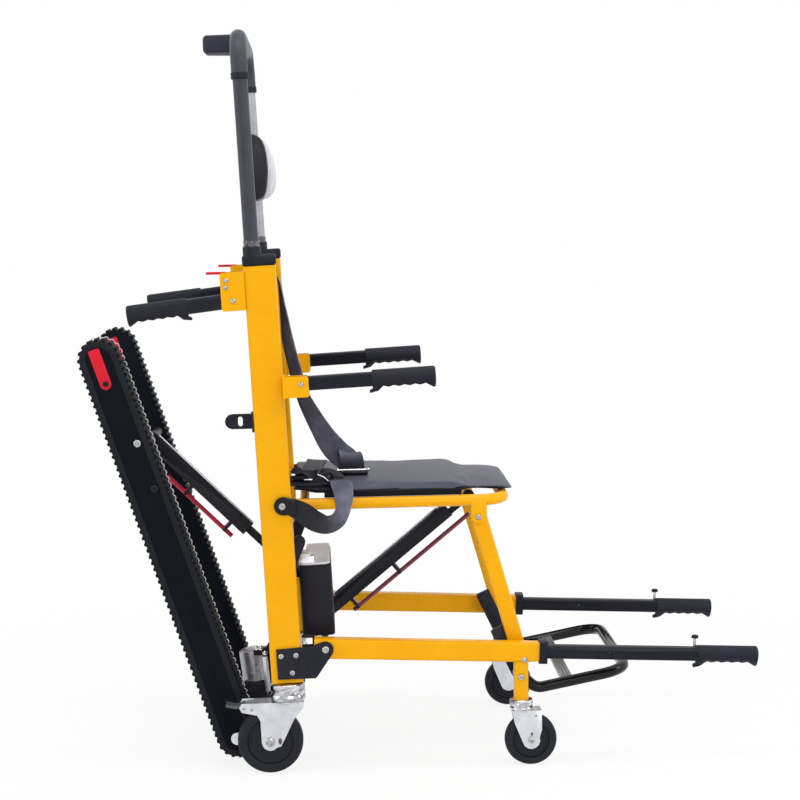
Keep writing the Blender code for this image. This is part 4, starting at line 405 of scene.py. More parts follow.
def newGroup(name, **values):
    group = bpy.data.node_groups.new(name, "ShaderNodeTree")
    group.interface.new_socket("Vector", in_out="INPUT", socket_type="NodeSocketVector")
    for label, value in values.items():
        socket = group.interface.new_socket(label, in_out="INPUT", socket_type="NodeSocketFloat")
        socket.default_value = value
    return group, group.nodes.new("NodeGroupInput").outputs


def closeGroup(group, **results):
    for label in results:
        group.interface.new_socket(label, in_out="OUTPUT", socket_type="NodeSocketFloat")
    feed(group, group.nodes.new("NodeGroupOutput").inputs, results)
    return group


def grainGroup():
    group, take = newGroup("coatGrain", Grain=900.0, Cloud=9.0)
    fine = node(group, "TexNoise", Vector=take["Vector"], Scale=take["Grain"], Detail=2.0)
    cloud = node(group, "TexNoise", Vector=take["Vector"], Scale=take["Cloud"], Detail=5.0, Roughness=0.62)
    return closeGroup(group, Height=fine["Fac"], Tone=cloud["Fac"])


def rubGroup():
    group, take = newGroup("edgeRub", Low=0.52, High=0.62)
    shape = node(group, "NewGeometry")
    span = node(group, "MapRange", Value=shape["Pointiness"], From_Min=take["Low"], From_Max=take["High"])
    spots = node(group, "TexNoise", Vector=take["Vector"], Scale=140.0)
    both = node(group, "Math", {"operation": "MULTIPLY"}, {0: span["Result"], 1: spots["Fac"]})
    return closeGroup(group, Mask=both[0])


def weaveGroup():
    group, take = newGroup("plainWeave", Warp=900.0, Weft=700.0)
    split = node(group, "SeparateXYZ", None, {0: take["Vector"]})
    waves = {}
    for k, (axis, count) in enumerate((("X", "Warp"), ("Y", "Weft"))):
        turn = node(group, "Math", {"operation": "MULTIPLY"}, {0: split[axis], 1: take[count]})
        waves[k] = node(group, "Math", {"operation": "SINE"}, {0: turn[0]})[0]
    crossing = node(group, "Math", {"operation": "MULTIPLY"}, waves)
    lift = node(group, "MapRange", Value=crossing[0], From_Min=-1.0)
    tone = node(group, "TexNoise", Vector=take["Vector"], Scale=30.0, Detail=4.0)
    return closeGroup(group, Height=lift["Result"], Tone=tone["Fac"])


def leatherGroup():
    group, take = newGroup("leatherGrain", Pebbles=520.0)
    cells = node(group, "TexVoronoi", {"feature": "DISTANCE_TO_EDGE"}, Vector=take["Vector"],
                 Scale=take["Pebbles"])
    span = node(group, "MapRange", Value=cells["Distance"], From_Max=0.25)
    cloud = node(group, "TexNoise", Vector=take["Vector"], Scale=14.0, Detail=5.0)
    return closeGroup(group, Height=span["Result"], Tone=cloud["Fac"])


coatGrain = grainGroup()
edgeRub = rubGroup()
plainWeave = weaveGroup()
leatherGrain = leatherGroup()
toneStops = (0.3, 0.7)


def makeFinish(name, dark, light, rough, bump, group=None, values=None, depth=0.0004, rub=None,
               source="Object", stretch=None, lift=None, **sockets):
    finish = bpy.data.materials.new(name)
    finish.use_nodes = True
    tree = finish.node_tree
    where = node(tree, "TexCoord")
    place = where[source]
    if stretch:
        place = node(tree, "Mapping", Vector=place, Scale=stretch)["Vector"]
    grain = node(tree, "Group", {"node_tree": group or coatGrain}, values, Vector=place)
    ramp = tree.nodes.new("ShaderNodeValToRGB")
    for stop, spot, tone in zip(ramp.color_ramp.elements, toneStops, (dark, light)):
        stop.position = spot
        stop.color = (*tone, 1.0)
    tree.links.new(grain["Tone"], ramp.inputs["Fac"])
    colour = ramp.outputs["Color"]
    if rub:
        worn = node(tree, "Group", {"node_tree": edgeRub}, Vector=where["Object"])
        colour = node(tree, "Mix", {"data_type": "RGBA"}, {6: colour, 7: (*rub, 1.0)}, Factor=worn["Mask"])[2]
    if lift:   # painted light: lengths that catch the light are painted brighter, by the value kept on the mesh
        paintedLight = node(tree, "Attribute", {"attribute_name": "paintedLight"})
        times = node(tree, "MapRange", Value=paintedLight["Fac"], To_Min=1.0, To_Max=lift)
        colour = node(tree, "VectorMath", {"operation": "SCALE"}, {0: colour}, Scale=times["Result"])[0]
    span = node(tree, "MapRange", Value=grain["Tone"], To_Min=rough[0], To_Max=rough[1])
    lump = node(tree, "Bump", Strength=bump, Distance=depth, Height=grain["Height"])
    feed(tree, tree.nodes["Principled BSDF"].inputs,
         {"Base Color": colour, "Roughness": span["Result"], "Normal": lump["Normal"], **sockets})
    finishes[name] = finish


def metal(share=1.0, stretch=None):
    return {"Metallic": share, "stretch": stretch}


cool = {"Specular_Tint": (0.80, 0.83, 1.0, 1.0)}
rubbed = {"rub": (0.05, 0.05, 0.055), **cool}
foamSheen = {"Sheen_Weight": 0.30, "Sheen_Roughness": 0.3, "Sheen_Tint": (0.85, 0.87, 1.0, 1.0)}
creased = {"depth": 0.0010}
coats = {   # dark and light tone, roughness, bump, scales of grain and cloud, specular level, the rest
    "yellowCoat": ((0.875, 0.402, 0.0020), (0.925, 0.442, 0.0032), (0.22, 0.32), 0.08, (700, 12), 0.12, {}),
    "blackCoat": ((0.0060, 0.0062, 0.0105), (0.0100, 0.0102, 0.0155), (0.38, 0.50), 0.22, (1300, 16), 0.22, rubbed),
    "trackCoat": ((0.0035, 0.0044, 0.0085), (0.0065, 0.0074, 0.0125), (0.40, 0.52), 0.2, (1300, 6), 0.07, cool),
    "rimCoat": ((0.0085, 0.0090, 0.0130), (0.0120, 0.0125, 0.0170), (0.36, 0.46), 0.2, (1300, 10), 0.16, cool),
    "glossBlack": ((0.0045, 0.0045, 0.0055), (0.0070, 0.0070, 0.0080), (0.10, 0.18), 0.04, (500, 20), 0.25, {}),
    "blackPlastic": ((0.0080, 0.0082, 0.0125), (0.0130, 0.0132, 0.0190), (0.42, 0.55), 0.25, (1800, 25), 0.22,
                     cool),
    "boxPlastic": ((0.0210, 0.0212, 0.0310), (0.0270, 0.0272, 0.0390), (0.46, 0.58), 0.25, (1800, 25), 0.24, cool),
    "gripRubber": ((0.0095, 0.0100, 0.0155), (0.0150, 0.0156, 0.0225), (0.50, 0.66), 0.45, (1500, 22), 0.24, cool),
    "handleFoam": ((0.0260, 0.0258, 0.0400), (0.0390, 0.0388, 0.0560), (0.46, 0.60), 0.5, (1100, 30), 0.40,
                   foamSheen),
    "tyreRubber": ((0.0130, 0.0132, 0.0195), (0.0210, 0.0212, 0.0290), (0.58, 0.74), 0.35, (900, 26), 0.20, cool),
    "hubPlastic": ((0.0110, 0.0112, 0.0165), (0.0160, 0.0162, 0.0225), (0.42, 0.55), 0.2, (1500, 22), 0.22, cool),
    "beltRubber": ((0.0040, 0.0042, 0.0060), (0.0090, 0.0094, 0.0125), (0.50, 0.70), 0.4, (1000, 35), 0.14, cool),
    "cordEdge": ((0.62, 0.62, 0.67), (0.86, 0.86, 0.90), (0.50, 0.66), 0.4, (1000, 90), 0.3, {}),
    "zincPlate": ((0.60, 0.61, 0.65), (0.78, 0.79, 0.84), (0.26, 0.42), 0.12, (400, 45), 0.5, metal()),
    "chrome": ((0.07, 0.07, 0.08), (0.93, 0.93, 0.95), (0.05, 0.16), 0.08, (600, 62), 0.5,
               metal(1.0, (0.7, 0.7, 2.4))),
    "boltSteel": ((0.22, 0.22, 0.23), (0.66, 0.66, 0.67), (0.16, 0.30), 0.08, (600, 260), 0.5, metal()),
    "brightSteel": ((0.56, 0.56, 0.57), (0.80, 0.79, 0.78), (0.10, 0.24), 0.08, (600, 90), 0.5, metal()),
    "treadGrey": ((0.012, 0.012, 0.016), (0.026, 0.026, 0.032), (0.12, 0.24), 0.1, (500, 30), 0.5, {}),
    "redPlastic": ((0.60, 0.0105, 0.0230), (0.70, 0.0150, 0.0330), (0.30, 0.42), 0.12, (900, 30), 0.14, {}),
    "redCoat": ((0.42, 0.016, 0.042), (0.52, 0.024, 0.056), (0.30, 0.42), 0.12, (900, 30), 0.25, {}),
    "burgundyCoat": ((0.205, 0.042, 0.064), (0.275, 0.058, 0.085), (0.30, 0.42), 0.12, (900, 30), 0.3, {}),
    "motorGrey": ((0.24, 0.235, 0.265), (0.46, 0.455, 0.50), (0.24, 0.40), 0.1, (500, 46), 0.5,
                  metal(0.75, (2.2, 2.2, 0.25))),
    "capGrey": ((0.84, 0.82, 0.93), (0.91, 0.89, 0.99), (0.24, 0.36), 0.06, (500, 15), 0.4, {}),
    "pedalGrey": ((0.060, 0.061, 0.070), (0.090, 0.091, 0.102), (0.40, 0.52), 0.25, (1200, 30), 0.5, {}),
    # far stem: the film over the tube, with the reflection it shows painted in as a pale grey
    "filmReflectionGrey": ((0.30, 0.295, 0.335), (0.44, 0.435, 0.48), (0.16, 0.34), 0.35, (70, 28), 0.5, creased),
    # crumpled film: dark, with pale mottling that is painted glint
    "bunchedFilmGlint": ((0.016, 0.016, 0.022), (0.15, 0.15, 0.18), (0.06, 0.24), 0.6, (160, 110), 0.6, creased),
    "paleConnector": ((0.74, 0.72, 0.69), (0.88, 0.87, 0.84), (0.30, 0.45), 0.1, (900, 60), 0.5, {}),
}
for name, (dark, light, rough, bump, (grain, cloud), specular, rest) in coats.items():
    makeFinish(name, dark, light, rough, bump, values={"Grain": grain, "Cloud": cloud},
               Specular_IOR_Level=specular, **rest)
# seat pad top: a blue-grey lighter than the leather's own black, a painted sheen
makeFinish("seatLeatherPaintedSheen", (0.0385, 0.0415, 0.0650), (0.0530, 0.0565, 0.0860), (0.40, 0.52), 0.25, leatherGrain,
           Specular_IOR_Level=0.30, Sheen_Weight=0.06, Sheen_Roughness=0.35)
makeFinish("seatEdge", (0.0035, 0.0037, 0.0065), (0.0065, 0.0068, 0.0105), (0.38, 0.50), 0.25, leatherGrain,
           Specular_IOR_Level=0.10)
makeFinish("headLeather", (0.0115, 0.0118, 0.0185), (0.0180, 0.0183, 0.0265), (0.32, 0.46), 0.30, leatherGrain,
           {"Pebbles": 600.0}, depth=0.0005, Specular_IOR_Level=0.24)
makeFinish("paleCover", (0.52, 0.52, 0.57), (0.66, 0.66, 0.70), (0.45, 0.60), 0.2, plainWeave,
           {"Warp": 2600.0, "Weft": 2600.0}, Sheen_Weight=0.2)
# webbing: each station is painted up to 36 times brighter by its value kept on the mesh, a painted light
makeFinish("webbing", (0.0085, 0.0086, 0.0125), (0.0165, 0.0167, 0.0230), (0.52, 0.70), 0.55, plainWeave,
           {"Warp": 900.0, "Weft": 2600.0}, depth=0.0006, source="UV", lift=36.0, Specular_IOR_Level=0.20,
           Sheen_Weight=0.08, Sheen_Roughness=0.4, Sheen_Tint=(0.75, 0.78, 0.9, 1.0))
makeFinish("slingCloth", (0.0090, 0.0090, 0.0125), (0.0150, 0.0150, 0.0200), (0.62, 0.80), 0.4, plainWeave,
           {"Warp": 3000.0, "Weft": 3000.0}, depth=0.0005, stretch=(0.0, 1.0, 0.0), Sheen_Weight=0.1,
           Specular_IOR_Level=0.25)
print("finishes", len(finishes))


# stage, light and camera

camera = {"x": 0.0800, "y": -3.78, "z": 1.0758, "lens": 85.68, "sensor": 36.0,
          "yaw": 2.3234, "down": 5.8879, "roll": 1.0967}


def makeCamera():
    yaw, down, roll = (math.radians(camera[key]) for key in ("yaw", "down", "roll"))
    eye = bpy.data.cameras.new("camera")
    eye.lens = camera["lens"]
    eye.sensor_width = camera["sensor"]
    holder = bpy.data.objects.new("camera", eye)
    bpy.context.scene.collection.objects.link(holder)
    turn = Matrix.Rotation(-yaw, 4, "Z") @ Matrix.Rotation(math.pi / 2 - down, 4, "X")
    spot = Matrix.Translation((axisX + camera["x"], camera["y"], camera["z"]))
    holder.matrix_world = spot @ turn @ Matrix.Rotation(-roll, 4, "Z")
    bpy.context.scene.camera = holder


studio = {"world": 0.66, "size": 40.0, "floor": 0.94, "rough": 0.9, "shine": 0.1,
          "near": 0.86, "clear": 0.7, "white": 1.7}
softboxes = {   # power, size, place and aim
    "topSoftbox": (24.0, (2.6, 0.45), (0.1, -0.5, 3.0), (0.0, 0.0, 0.5)),
    "frontSoftbox": (27.0, (2.2, 2.2), (0.9, -3.2, 2.2), (0.0, 0.0, 0.6)),
    "leftSoftbox": (14.0, (0.45, 2.2), (-2.6, -0.9, 1.5), (0.0, 0.0, 0.6)),
    "rightSoftbox": (17.0, (0.45, 2.2), (2.7, -0.6, 1.6), (0.0, 0.0, 0.6)),
}
whiteLight = (1.0, 1.0, 1.0, 1.0)


def seenRays(tree):
    rays = node(tree, "LightPath")
    total = rays["Is Camera Ray"]
    for kind in ("Is Glossy Ray", "Is Transmission Ray"):
        total = node(tree, "Math", {"operation": "ADD", "use_clamp": True}, {0: total, 1: rays[kind]})[0]
    return total


def areaLight(name, power, size, spot, target):
    lamp = bpy.data.lights.new(name, "AREA")
    lamp.energy = power
    lamp.shape = "RECTANGLE"
    lamp.size, lamp.size_y = size
    holder = bpy.data.objects.new(name, lamp)
    holder.location = spot
    holder.rotation_mode = "QUATERNION"
    holder.rotation_quaternion = (Vector(target) - Vector(spot)).to_track_quat("-Z", "Y")
    bpy.context.scene.collection.objects.link(holder)
    holder.visible_camera = False


def blended(tree, share, one, two, result):
    mix = node(tree, "MixShader", None, {0: share, 1: one, 2: two})
    tree.links.new(mix[0], tree.nodes[result].inputs["Surface"])


def makeWorld():
    scene = bpy.context.scene
    scene.view_settings.view_transform = "Standard"
    sky = bpy.data.worlds.new("studio")
    scene.world = sky
    sky.use_nodes = True
    tree = sky.node_tree
    back = tree.nodes["Background"]
    feed(tree, back.inputs, {"Color": whiteLight, "Strength": studio["world"]})
    white = node(tree, "Background", Color=whiteLight)
    blended(tree, seenRays(tree), back.outputs[0], white[0], "World Output")


def makeFloor():   # paper that turns into plain white away from the chair
    bpy.ops.mesh.primitive_plane_add(size=studio["size"])
    floor = bpy.context.object
    floor.name = "floor"
    paper = bpy.data.materials.new("floorPaper")
    paper.use_nodes = True
    tree = paper.node_tree
    matte = tree.nodes["Principled BSDF"]
    feed(tree, matte.inputs, {"Base Color": (studio["floor"],) * 3 + (1.0,), "Roughness": studio["rough"],
                              "Specular IOR Level": studio["shine"]})
    where = node(tree, "TexCoord")
    away = node(tree, "VectorMath", {"operation": "LENGTH"}, {0: where["Object"]})
    span = node(tree, "MapRange", {"interpolation_type": "SMOOTHSTEP"}, Value=away["Value"],
                From_Min=studio["clear"], From_Max=studio["white"], To_Min=studio["near"])
    share = node(tree, "Math", {"operation": "MULTIPLY"}, {0: span["Result"], 1: seenRays(tree)})
    blended(tree, share[0], matte.outputs[0], node(tree, "Emission")[0], "Material Output")
    floor.data.materials.append(paper)


makeCamera()
makeWorld()
makeFloor()
for name, settings in softboxes.items():
    areaLight(name, *settings)
print("stage ready")


# rigid nodes kept in shape, with their edges broken as after tumbling and coating

softened = {
    "upright_*": ("yellowCoat", 0.0014), "top_cap_*": ("blackPlastic", 0.0020),
    "lower_cross_tube": ("blackCoat", 0.0008), "base_hinge": ("blackCoat", 0.0008),
    "drive_bracket": ("blackCoat", 0.0008), "gear_motor": ("motorGrey", 0.0010),
    "battery_case": ("blackPlastic", 0.0020), "battery_cap": ("capGrey", 0.0008),
    "control_box": ("boxPlastic", 0.0015), "control_switch": ("boxPlastic", 0.0005),
    "leg_*": ("yellowCoat", 0.0014), "rail_*": ("yellowCoat", 0.0014),
    "front_handle_*": ("gripRubber", 0.0008), "rear_handle_*": ("gripRubber", 0.0008),
    "armrest_*": ("gripRubber", 0.0008), "release_lever_*": ("redPlastic", 0.0005),
    "lock_knob_*": ("zincPlate", 0.0005), "front_fork_*": ("zincPlate", 0.0006),
    "rear_fork_*": ("zincPlate", 0.0006), "brake_pedal_*": ("pedalGrey", 0.0006),
    "track_housing_*": ("trackCoat", 0.0012), "track_belt_*": ("beltRubber", 0.0004),
    "track_cross_tube": ("blackCoat", 0.0008), "drive_axle": ("zincPlate", 0.0008),
    "idler_*": ("blackPlastic", 0.0008),
    "track_strut_channel": ("blackCoat", 0.0008), "track_strut_slider": ("blackCoat", 0.0006),
    "track_release_bar": ("redCoat", 0.0005), "seat_strut_channel": ("blackCoat", 0.0008),
    "seat_strut_slider": ("blackCoat", 0.0006), "seat_release_bar": ("burgundyCoat", 0.0005),
    "upper_cross_tube": ("yellowCoat", 0.0008), "middle_cross_tube": ("yellowCoat", 0.0008),
    "seat_frame": ("yellowCoat", 0.0008), "footrest": ("glossBlack", 0.0008),
}
squareTubes = ("upright", "rail", "leg")
railTube = {"grow": 0.0015, "end": 0.405, "flank": 0.0125}
switchTall = 0.3


def squareTube(nodeName, width):   # corner fillets refined, flats kept flat in the shading
    piece = cleanCopy(nodeName)
    for vert in piece.data.vertices if nodeName.startswith("rail") else ():
        spot = inRail @ vert.co
        if spot.x < railTube["end"] and abs(spot.z) > railTube["flank"]:
            vert.co += railFrame.to_3x3() @ Vector((0.0, 0.0, math.copysign(railTube["grow"], spot.z)))
    rounded(piece, width, 3)
    smooth(piece, 52)
    return apply(piece, "WEIGHTED_NORMAL", keep_sharp=True, weight=70)


made = {}
for family, (finish, width) in softened.items():
    for nodeName in sided(family):
        square = family.split("_")[0] in squareTubes
        piece = squareTube(nodeName, width) if square else rounded(cleanCopy(nodeName), width)
        made[nodeName] = settle(piece, bodyOf[nodeName], finish, [nodeName])
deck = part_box("control_box")[1].z
for vert in made["control_switch"].data.vertices:
    if vert.co.z > deck:
        vert.co.z = deck + (vert.co.z - deck) * switchTall
print("softened", len(made))


# second finishes on the same piece: latch tab, collars, tube parts of the handles, posts and tread

secondFinishes = (
    ("upright_right", "blackCoat", inside(uprightFrame, x=(-far, -0.0302), z=(0.4704, 0.5304))),
    ("rail_*", "blackPlastic", inside(railFrame, x=(0.4078, far))),
    ("rear_handle_*", "blackCoat", near(-0.0826, 0.9022, 0.0865)),
    ("armrest_*", "blackCoat", near(0.0400, 0.7475, 0.1315)),
    ("front_handle_*", "blackCoat", inside(railFrame, x=(-far, 0.7115))),
    ("lock_knob_*", "blackPlastic", inside(railFrame, z=(0.0300, far))),
    ("rear_fork_*", "chrome", inside(flat, z=(0.1387, far))),
    ("front_fork_*", "chrome", inside(flat, z=(0.1082, far))),
    ("footrest", "treadGrey", inside(flat, x=(0.5285, 0.5535), y=(-0.1748, 0.1748))),
    ("footrest", "blackCoat", inside(flat, x=(-far, 0.47), y=(-0.1747, 0.1747))),
    ("gear_motor", "blackCoat", inside(flat, z=(-far, 0.1502))),
    ("seat_release_bar", "blackCoat", inside(seatStrutFrame, z=(-0.0243, far))),
    ("track_release_bar", "blackCoat", inside(trackStrutFrame, z=(-0.0293, far))),
    ("battery_cap", "zincPlate", inside(uprightFrame, z=(0.2185, far))),
)
for family, finish, test in secondFinishes:
    for nodeName in sided(family):
        dressFaces(made[nodeName], finish, test)


# push handle: two stems, foam over the top, rubber bands, cross bar and the shell of the head rest

push = {"v": -0.0124, "side": 0.220, "low": 0.450, "top": 1.2165, "corner": 0.060, "stem": 0.0138,
        "stemTop": 1.138, "foam": 0.0156, "foamLow": 1.140, "band": 1.136, "bandTall": 0.0125,
        "bandRadius": 0.0168, "bandEdge": 0.001, "bar": 0.977, "barRadius": 0.009}
headRest = {
    "low": 1.0865, "high": 1.2150, "half": 0.120, "back": -0.0480, "front": -0.0050,
    "shell": ((0.0, -0.0380), (0.03, -0.0240), (0.08, -0.0170), (0.20, -0.0128), (0.45, -0.0098),
              (0.70, -0.0126), (0.86, -0.0180), (0.95, -0.0270), (1.0, -0.0420)),
    "pad": ((0.0, -0.0230), (0.05, -0.0110), (0.15, -0.0032), (0.378, 0.0), (0.695, -0.0067), (0.88, -0.0150),
            (0.97, -0.0250), (1.0, -0.0330)),
    "padBack": -0.0260, "padHalf": 0.1090, "padInset": 0.0025, "padHeld": -0.0225,
    "shrink": 0.05, "thin": 0.07, "sharp": 40, "least": 0.002,
}


def domed(name, profile, back, half, inset=0.0, stations=32):   # the same face all across, ends turned in
    low, high = headRest["low"] + inset, headRest["high"] - inset
    middle = (low + high) / 2
    face = curveThrough([(headRest["front"] + x, 0.0, low + (high - low) * share) for share, x in profile], 5)
    rings = []
    for k in range(stations + 1):
        across = -math.cos(math.pi * k / stations)
        ending = abs(across) ** headRest["sharp"]
        shrink, thin = 1.0 - headRest["shrink"] * ending, 1.0 - headRest["thin"] * ending
        ring = [Vector((back + (max(spot.x, back + headRest["least"]) - back) * thin, across * half,
                        middle + (spot.z - middle) * shrink)) for spot in face]
        top, tall = ring[-1].z, ring[-1].z - ring[0].z
        ring += [Vector((back, across * half, top - tall * step / 8)) for step in range(9)]
        rings.append(ring)
    return loft(name, rings, flat, degrees=50)


def pushHandle():
    v, side, top, stem = (push[key] for key in ("v", "side", "top", "stem"))
    radius, tall, edge = (push[key] for key in ("bandRadius", "bandTall", "bandEdge"))
    band = [(stem, 0.0), (radius - edge, 0.0), (radius, edge), (radius, tall - edge), (radius - edge, tall),
            (stem, tall)]
    parts = []
    # the far stem is painted pale grey: the film wrapped on both stems, with the reflection it shows on the far one
    # painted into its colour
    for y, finish in ((-side, "handleFoam"), (side, "filmReflectionGrey")):
        parts.append(dress(tube("stem", [(v, y, push["low"]), (v, y, push["stemTop"])], stem, uprightFrame), finish))
        ring = turned("band", band, uprightFrame @ Matrix.Translation((v, y, push["band"])))
        parts.append(dress(ring, "gripRubber"))
    foam = filleted([(v, -side, push["foamLow"]), (v, -side, top), (v, side, top), (v, side, push["foamLow"])],
                    push["corner"], 14)
    parts.append(dress(tube("foam", foam, push["foam"], uprightFrame, 8), "handleFoam"))
    bar = tube("bar", [(v, -side, push["bar"]), (v, side, push["bar"])], push["barRadius"], uprightFrame)
    parts.append(dress(bar, "blackCoat"))
    shell = domed("shell", headRest["shell"], headRest["back"], headRest["half"])
    parts.append(dress(shell, "headLeather"))
    return join("pushHandle", parts)


cuff = {"low": 0.8105, "tall": 0.028, "radius": 0.0148, "rings": 16, "steps": 64,
        "waves": ((5, 1.1, 1.0), (9, -1.7, 0.8), (3, 2.9, 0.6)), "crumple": 0.0007,
        "swell": 0.0009, "swellTurn": 1.9, "ripple": 0.0012, "ripples": 4}


def filmCuff():   # packing film left bunched at the foot of the stem, stuck to the cap
    rings = []
    for k in range(cuff["rings"] + 1):
        level = cuff["low"] + cuff["tall"] * k / cuff["rings"]
        fade = 1.0 - (k / cuff["rings"]) ** 3
        swell = cuff["swell"] * math.sin(cuff["swellTurn"] * k)
        ring = []
        for step in range(cuff["steps"]):
            turn = 2 * math.pi * step / cuff["steps"]
            wave = sum(size * math.sin(count * turn + drift * k) for count, drift, size in cuff["waves"])
            radius = cuff["radius"] + fade * (cuff["crumple"] * wave + swell)
            ring.append((push["v"] + radius * math.cos(turn), -push["side"] + radius * math.sin(turn),
                         level + cuff["ripple"] * math.sin(cuff["ripples"] * turn + k)))
        rings.append(ring)
    return loft("filmCuff", rings, uprightFrame, degrees=70)


settle(pushHandle(), "push_handle", None, ["push_handle"])
# the cuff's pale mottling is painted glint on the crumpled film
pair(filmCuff(), "filmCuff", "frame", "bunchedFilmGlint")
print("push handle done")


# casters: turned wheels, ring stack under each foot and a patch for each fork slot; their axle nuts and rivets come
# with the bolts below

casterY = -0.220
casters = {
    "rear": {"x": -0.035, "z": 0.0625, "radius": 0.0625, "half": 0.016, "hub": 0.043, "swivel": 0.0,
             "stack": ((0.0195, 0.1402), (0.0310, 0.1402), (0.0333, 0.1425), (0.0343, 0.1465), (0.0338, 0.1505),
                       (0.0318, 0.1540), (0.0325, 0.1552), (0.0328, 0.1572), (0.0310, 0.1590), (0.0195, 0.1590)),
             "slot": (-0.0165, 0.0640, 0.0036, 0.0062)},
    "front": {"x": 0.463, "z": 0.050, "radius": 0.050, "half": 0.013, "hub": 0.034, "swivel": 0.446,
              "stack": ((0.0120, 0.1086), (0.0205, 0.1086), (0.0224, 0.1100), (0.0228, 0.1125), (0.0215, 0.1150),
                        (0.0205, 0.1158), (0.0222, 0.1170), (0.0224, 0.1215), (0.0205, 0.1235), (0.0120, 0.1235)),
              "slot": (0.4640, 0.0620, 0.0020, 0.0040)},
}
wheelSide = {   # hub by share, what is added and depth; tyre by what is taken off and depth
    "hub": ((0.0, 0.0, 0.0022), (0.30, 0.0, 0.0022), (0.34, 0.0, 0.0034), (0.86, 0.0, 0.0040),
            (0.90, 0.0, 0.0028), (1.0, -0.0012, 0.0026), (1.0, -0.0008, 0.0050), (1.0, 0.0008, 0.0050),
            (1.0, 0.0014, 0.0008), (1.0, 0.0040, 0.0002)),
    "tyre": ((0.0080, 0.0), (0.0035, 0.0014), (0.0010, 0.0044), (0.0001, 0.0085)),
    "seamOut": 0.0001,
}
slotDeep = 0.0004


def acrossY(x, z, y=casterY):   # local z becomes the outward side of the right hand pieces
    return flat @ Matrix.Translation((x, y, z)) @ Matrix.Rotation(math.radians(90), 4, "X")


def casterWheel(name, spec):
    radius, half, hub = spec["radius"], spec["half"], spec["hub"]
    side = [(hub * share + more, half - deep) for share, more, deep in wheelSide["hub"]]
    side += [(radius - less, half - deep) for less, deep in wheelSide["tyre"]]
    profile = side + [(radius, 0.0)] + [(r, -h) for r, h in reversed(side)]
    wheel = turned(name, profile, acrossY(spec["x"], spec["z"]), 64, 30)
    dress(wheel, "tyreRubber")
    return dressFaces(wheel, "hubPlastic", near(spec["x"], spec["z"], hub + wheelSide["seamOut"]))


for end, spec in casters.items():
    pair(casterWheel(end + "Wheel", spec), end + "Wheel", end + "_wheel", None, end + "_wheel")
    stack = turned(end + "Stack", spec["stack"], flat @ Matrix.Translation((spec["swivel"], casterY, 0.0)), 56, 30)
    pair(stack, end + "Stack", end + "_fork", "chrome")
# each fork slot is a thin dark oval on the fork face: painted shade standing for the opening
for end, spec in casters.items():
    x, z, wide, tall = spec["slot"]
    y = faceY(end + "_fork_right", x, z)
    outline = [(x + wide * one, z + tall * two) for one, two in arc(0.0, 0.0, 1.0, 0.0, 360.0, 20)[:-1]]
    pair(plate(end + "Slot", outline, y - slotDeep, y + slotDeep, 0.0), end + "Slot", end + "_fork", "pedalGrey")
print("casters done")


# bolts are one button head with a hexagon socket, copied at each place

boltHead = {"round": ((1.0, 0.0), (1.0, 0.16), (0.96, 0.36), (0.84, 0.52), (0.66, 0.60), (0.52, 0.62)),
            "socket": ((0.50, 0.60), (0.48, 0.22)), "steps": 24, "sunk": 0.0002, "turn": 40.0}


def buttonHead():
    turns = [2 * math.pi * step / boltHead["steps"] for step in range(boltHead["steps"])]
    sixth = math.pi / 6
    rings = []
    for share, level in boltHead["round"] + boltHead["socket"]:
        ring = []
        for turn in turns:
            reach = share
            if (share, level) in boltHead["socket"]:
                reach *= math.cos(sixth) / math.cos(turn % (2 * sixth) - sixth)
            ring.append((reach * math.cos(turn), reach * math.sin(turn), level))
        rings.append(ring)
    return loft("buttonHead", rings, degrees=34)


head = buttonHead()


def bolts(name, spots, side=-1):
    parts = []
    for nodeName, x, z, radius in spots:
        y = faceY(nodeName, x, z, side) - side * boltHead["sunk"]
        piece = added(name, head.data.copy())
        turn = Matrix.Rotation(x * boltHead["turn"], 4, "Z")
        piece.data.transform(acrossY(x, z, y) @ turn @ Matrix.Scale(radius, 4))
        parts.append(piece)
    return join(name, parts) if len(parts) > 1 else parts[0]


def onTrack(across, along):
    spot = inFlat @ trackFrame @ Vector((across, 0.0, along))
    return spot.x, spot.z


boltSpots = {   # node, x, z and radius
    "frame": (("upright_right", -0.0945, 0.9400, 0.0048), ("upright_right", -0.0967, 0.9265, 0.0044),
              ("upright_right", -0.0826, 0.9022, 0.0050), ("upright_right", 0.0400, 0.7475, 0.0048),
              ("base_hinge", -0.0109, 0.2279, 0.0053), ("base_hinge", 0.0174, 0.2290, 0.0053),
              ("base_hinge", 0.0100, 0.1954, 0.0053), ("base_hinge", 0.0735, 0.2385, 0.0072)),
    "seat": (("seat_frame", 0.3710, 0.4785, 0.0056),),
    "base": (("rail_right", 0.4521, 0.2065, 0.0056), ("rail_right", 0.4452, 0.1731, 0.0062)),
    "track": (("track_housing_right", *onTrack(0.0150, 0.6012), 0.0078),),
    "rear_fork": (("rear_fork_right", -0.035, 0.0625, 0.0088), ("rear_fork_right", -0.0835, 0.1300, 0.0042),
                  ("rear_fork_right", -0.0690, 0.1265, 0.0030)),
    "front_fork": (("front_fork_right", 0.463, 0.050, 0.0060), ("front_fork_right", 0.472, 0.098, 0.0028)),
}
blindSpots = (("track_housing_right", *onTrack(0.0160, 0.5090), 0.0078),)
for body, spots in boltSpots.items():
    pair(bolts(body + "Bolts", spots), body + "Bolts", body, "boltSteel")
pair(bolts("blindBolts", blindSpots), "blindBolts", "track", "hubPlastic")
bpy.data.objects.remove(head)
print("bolts done")


# crawler: red adjuster plates with their dark screws on both faces, raised rims and the pale cord

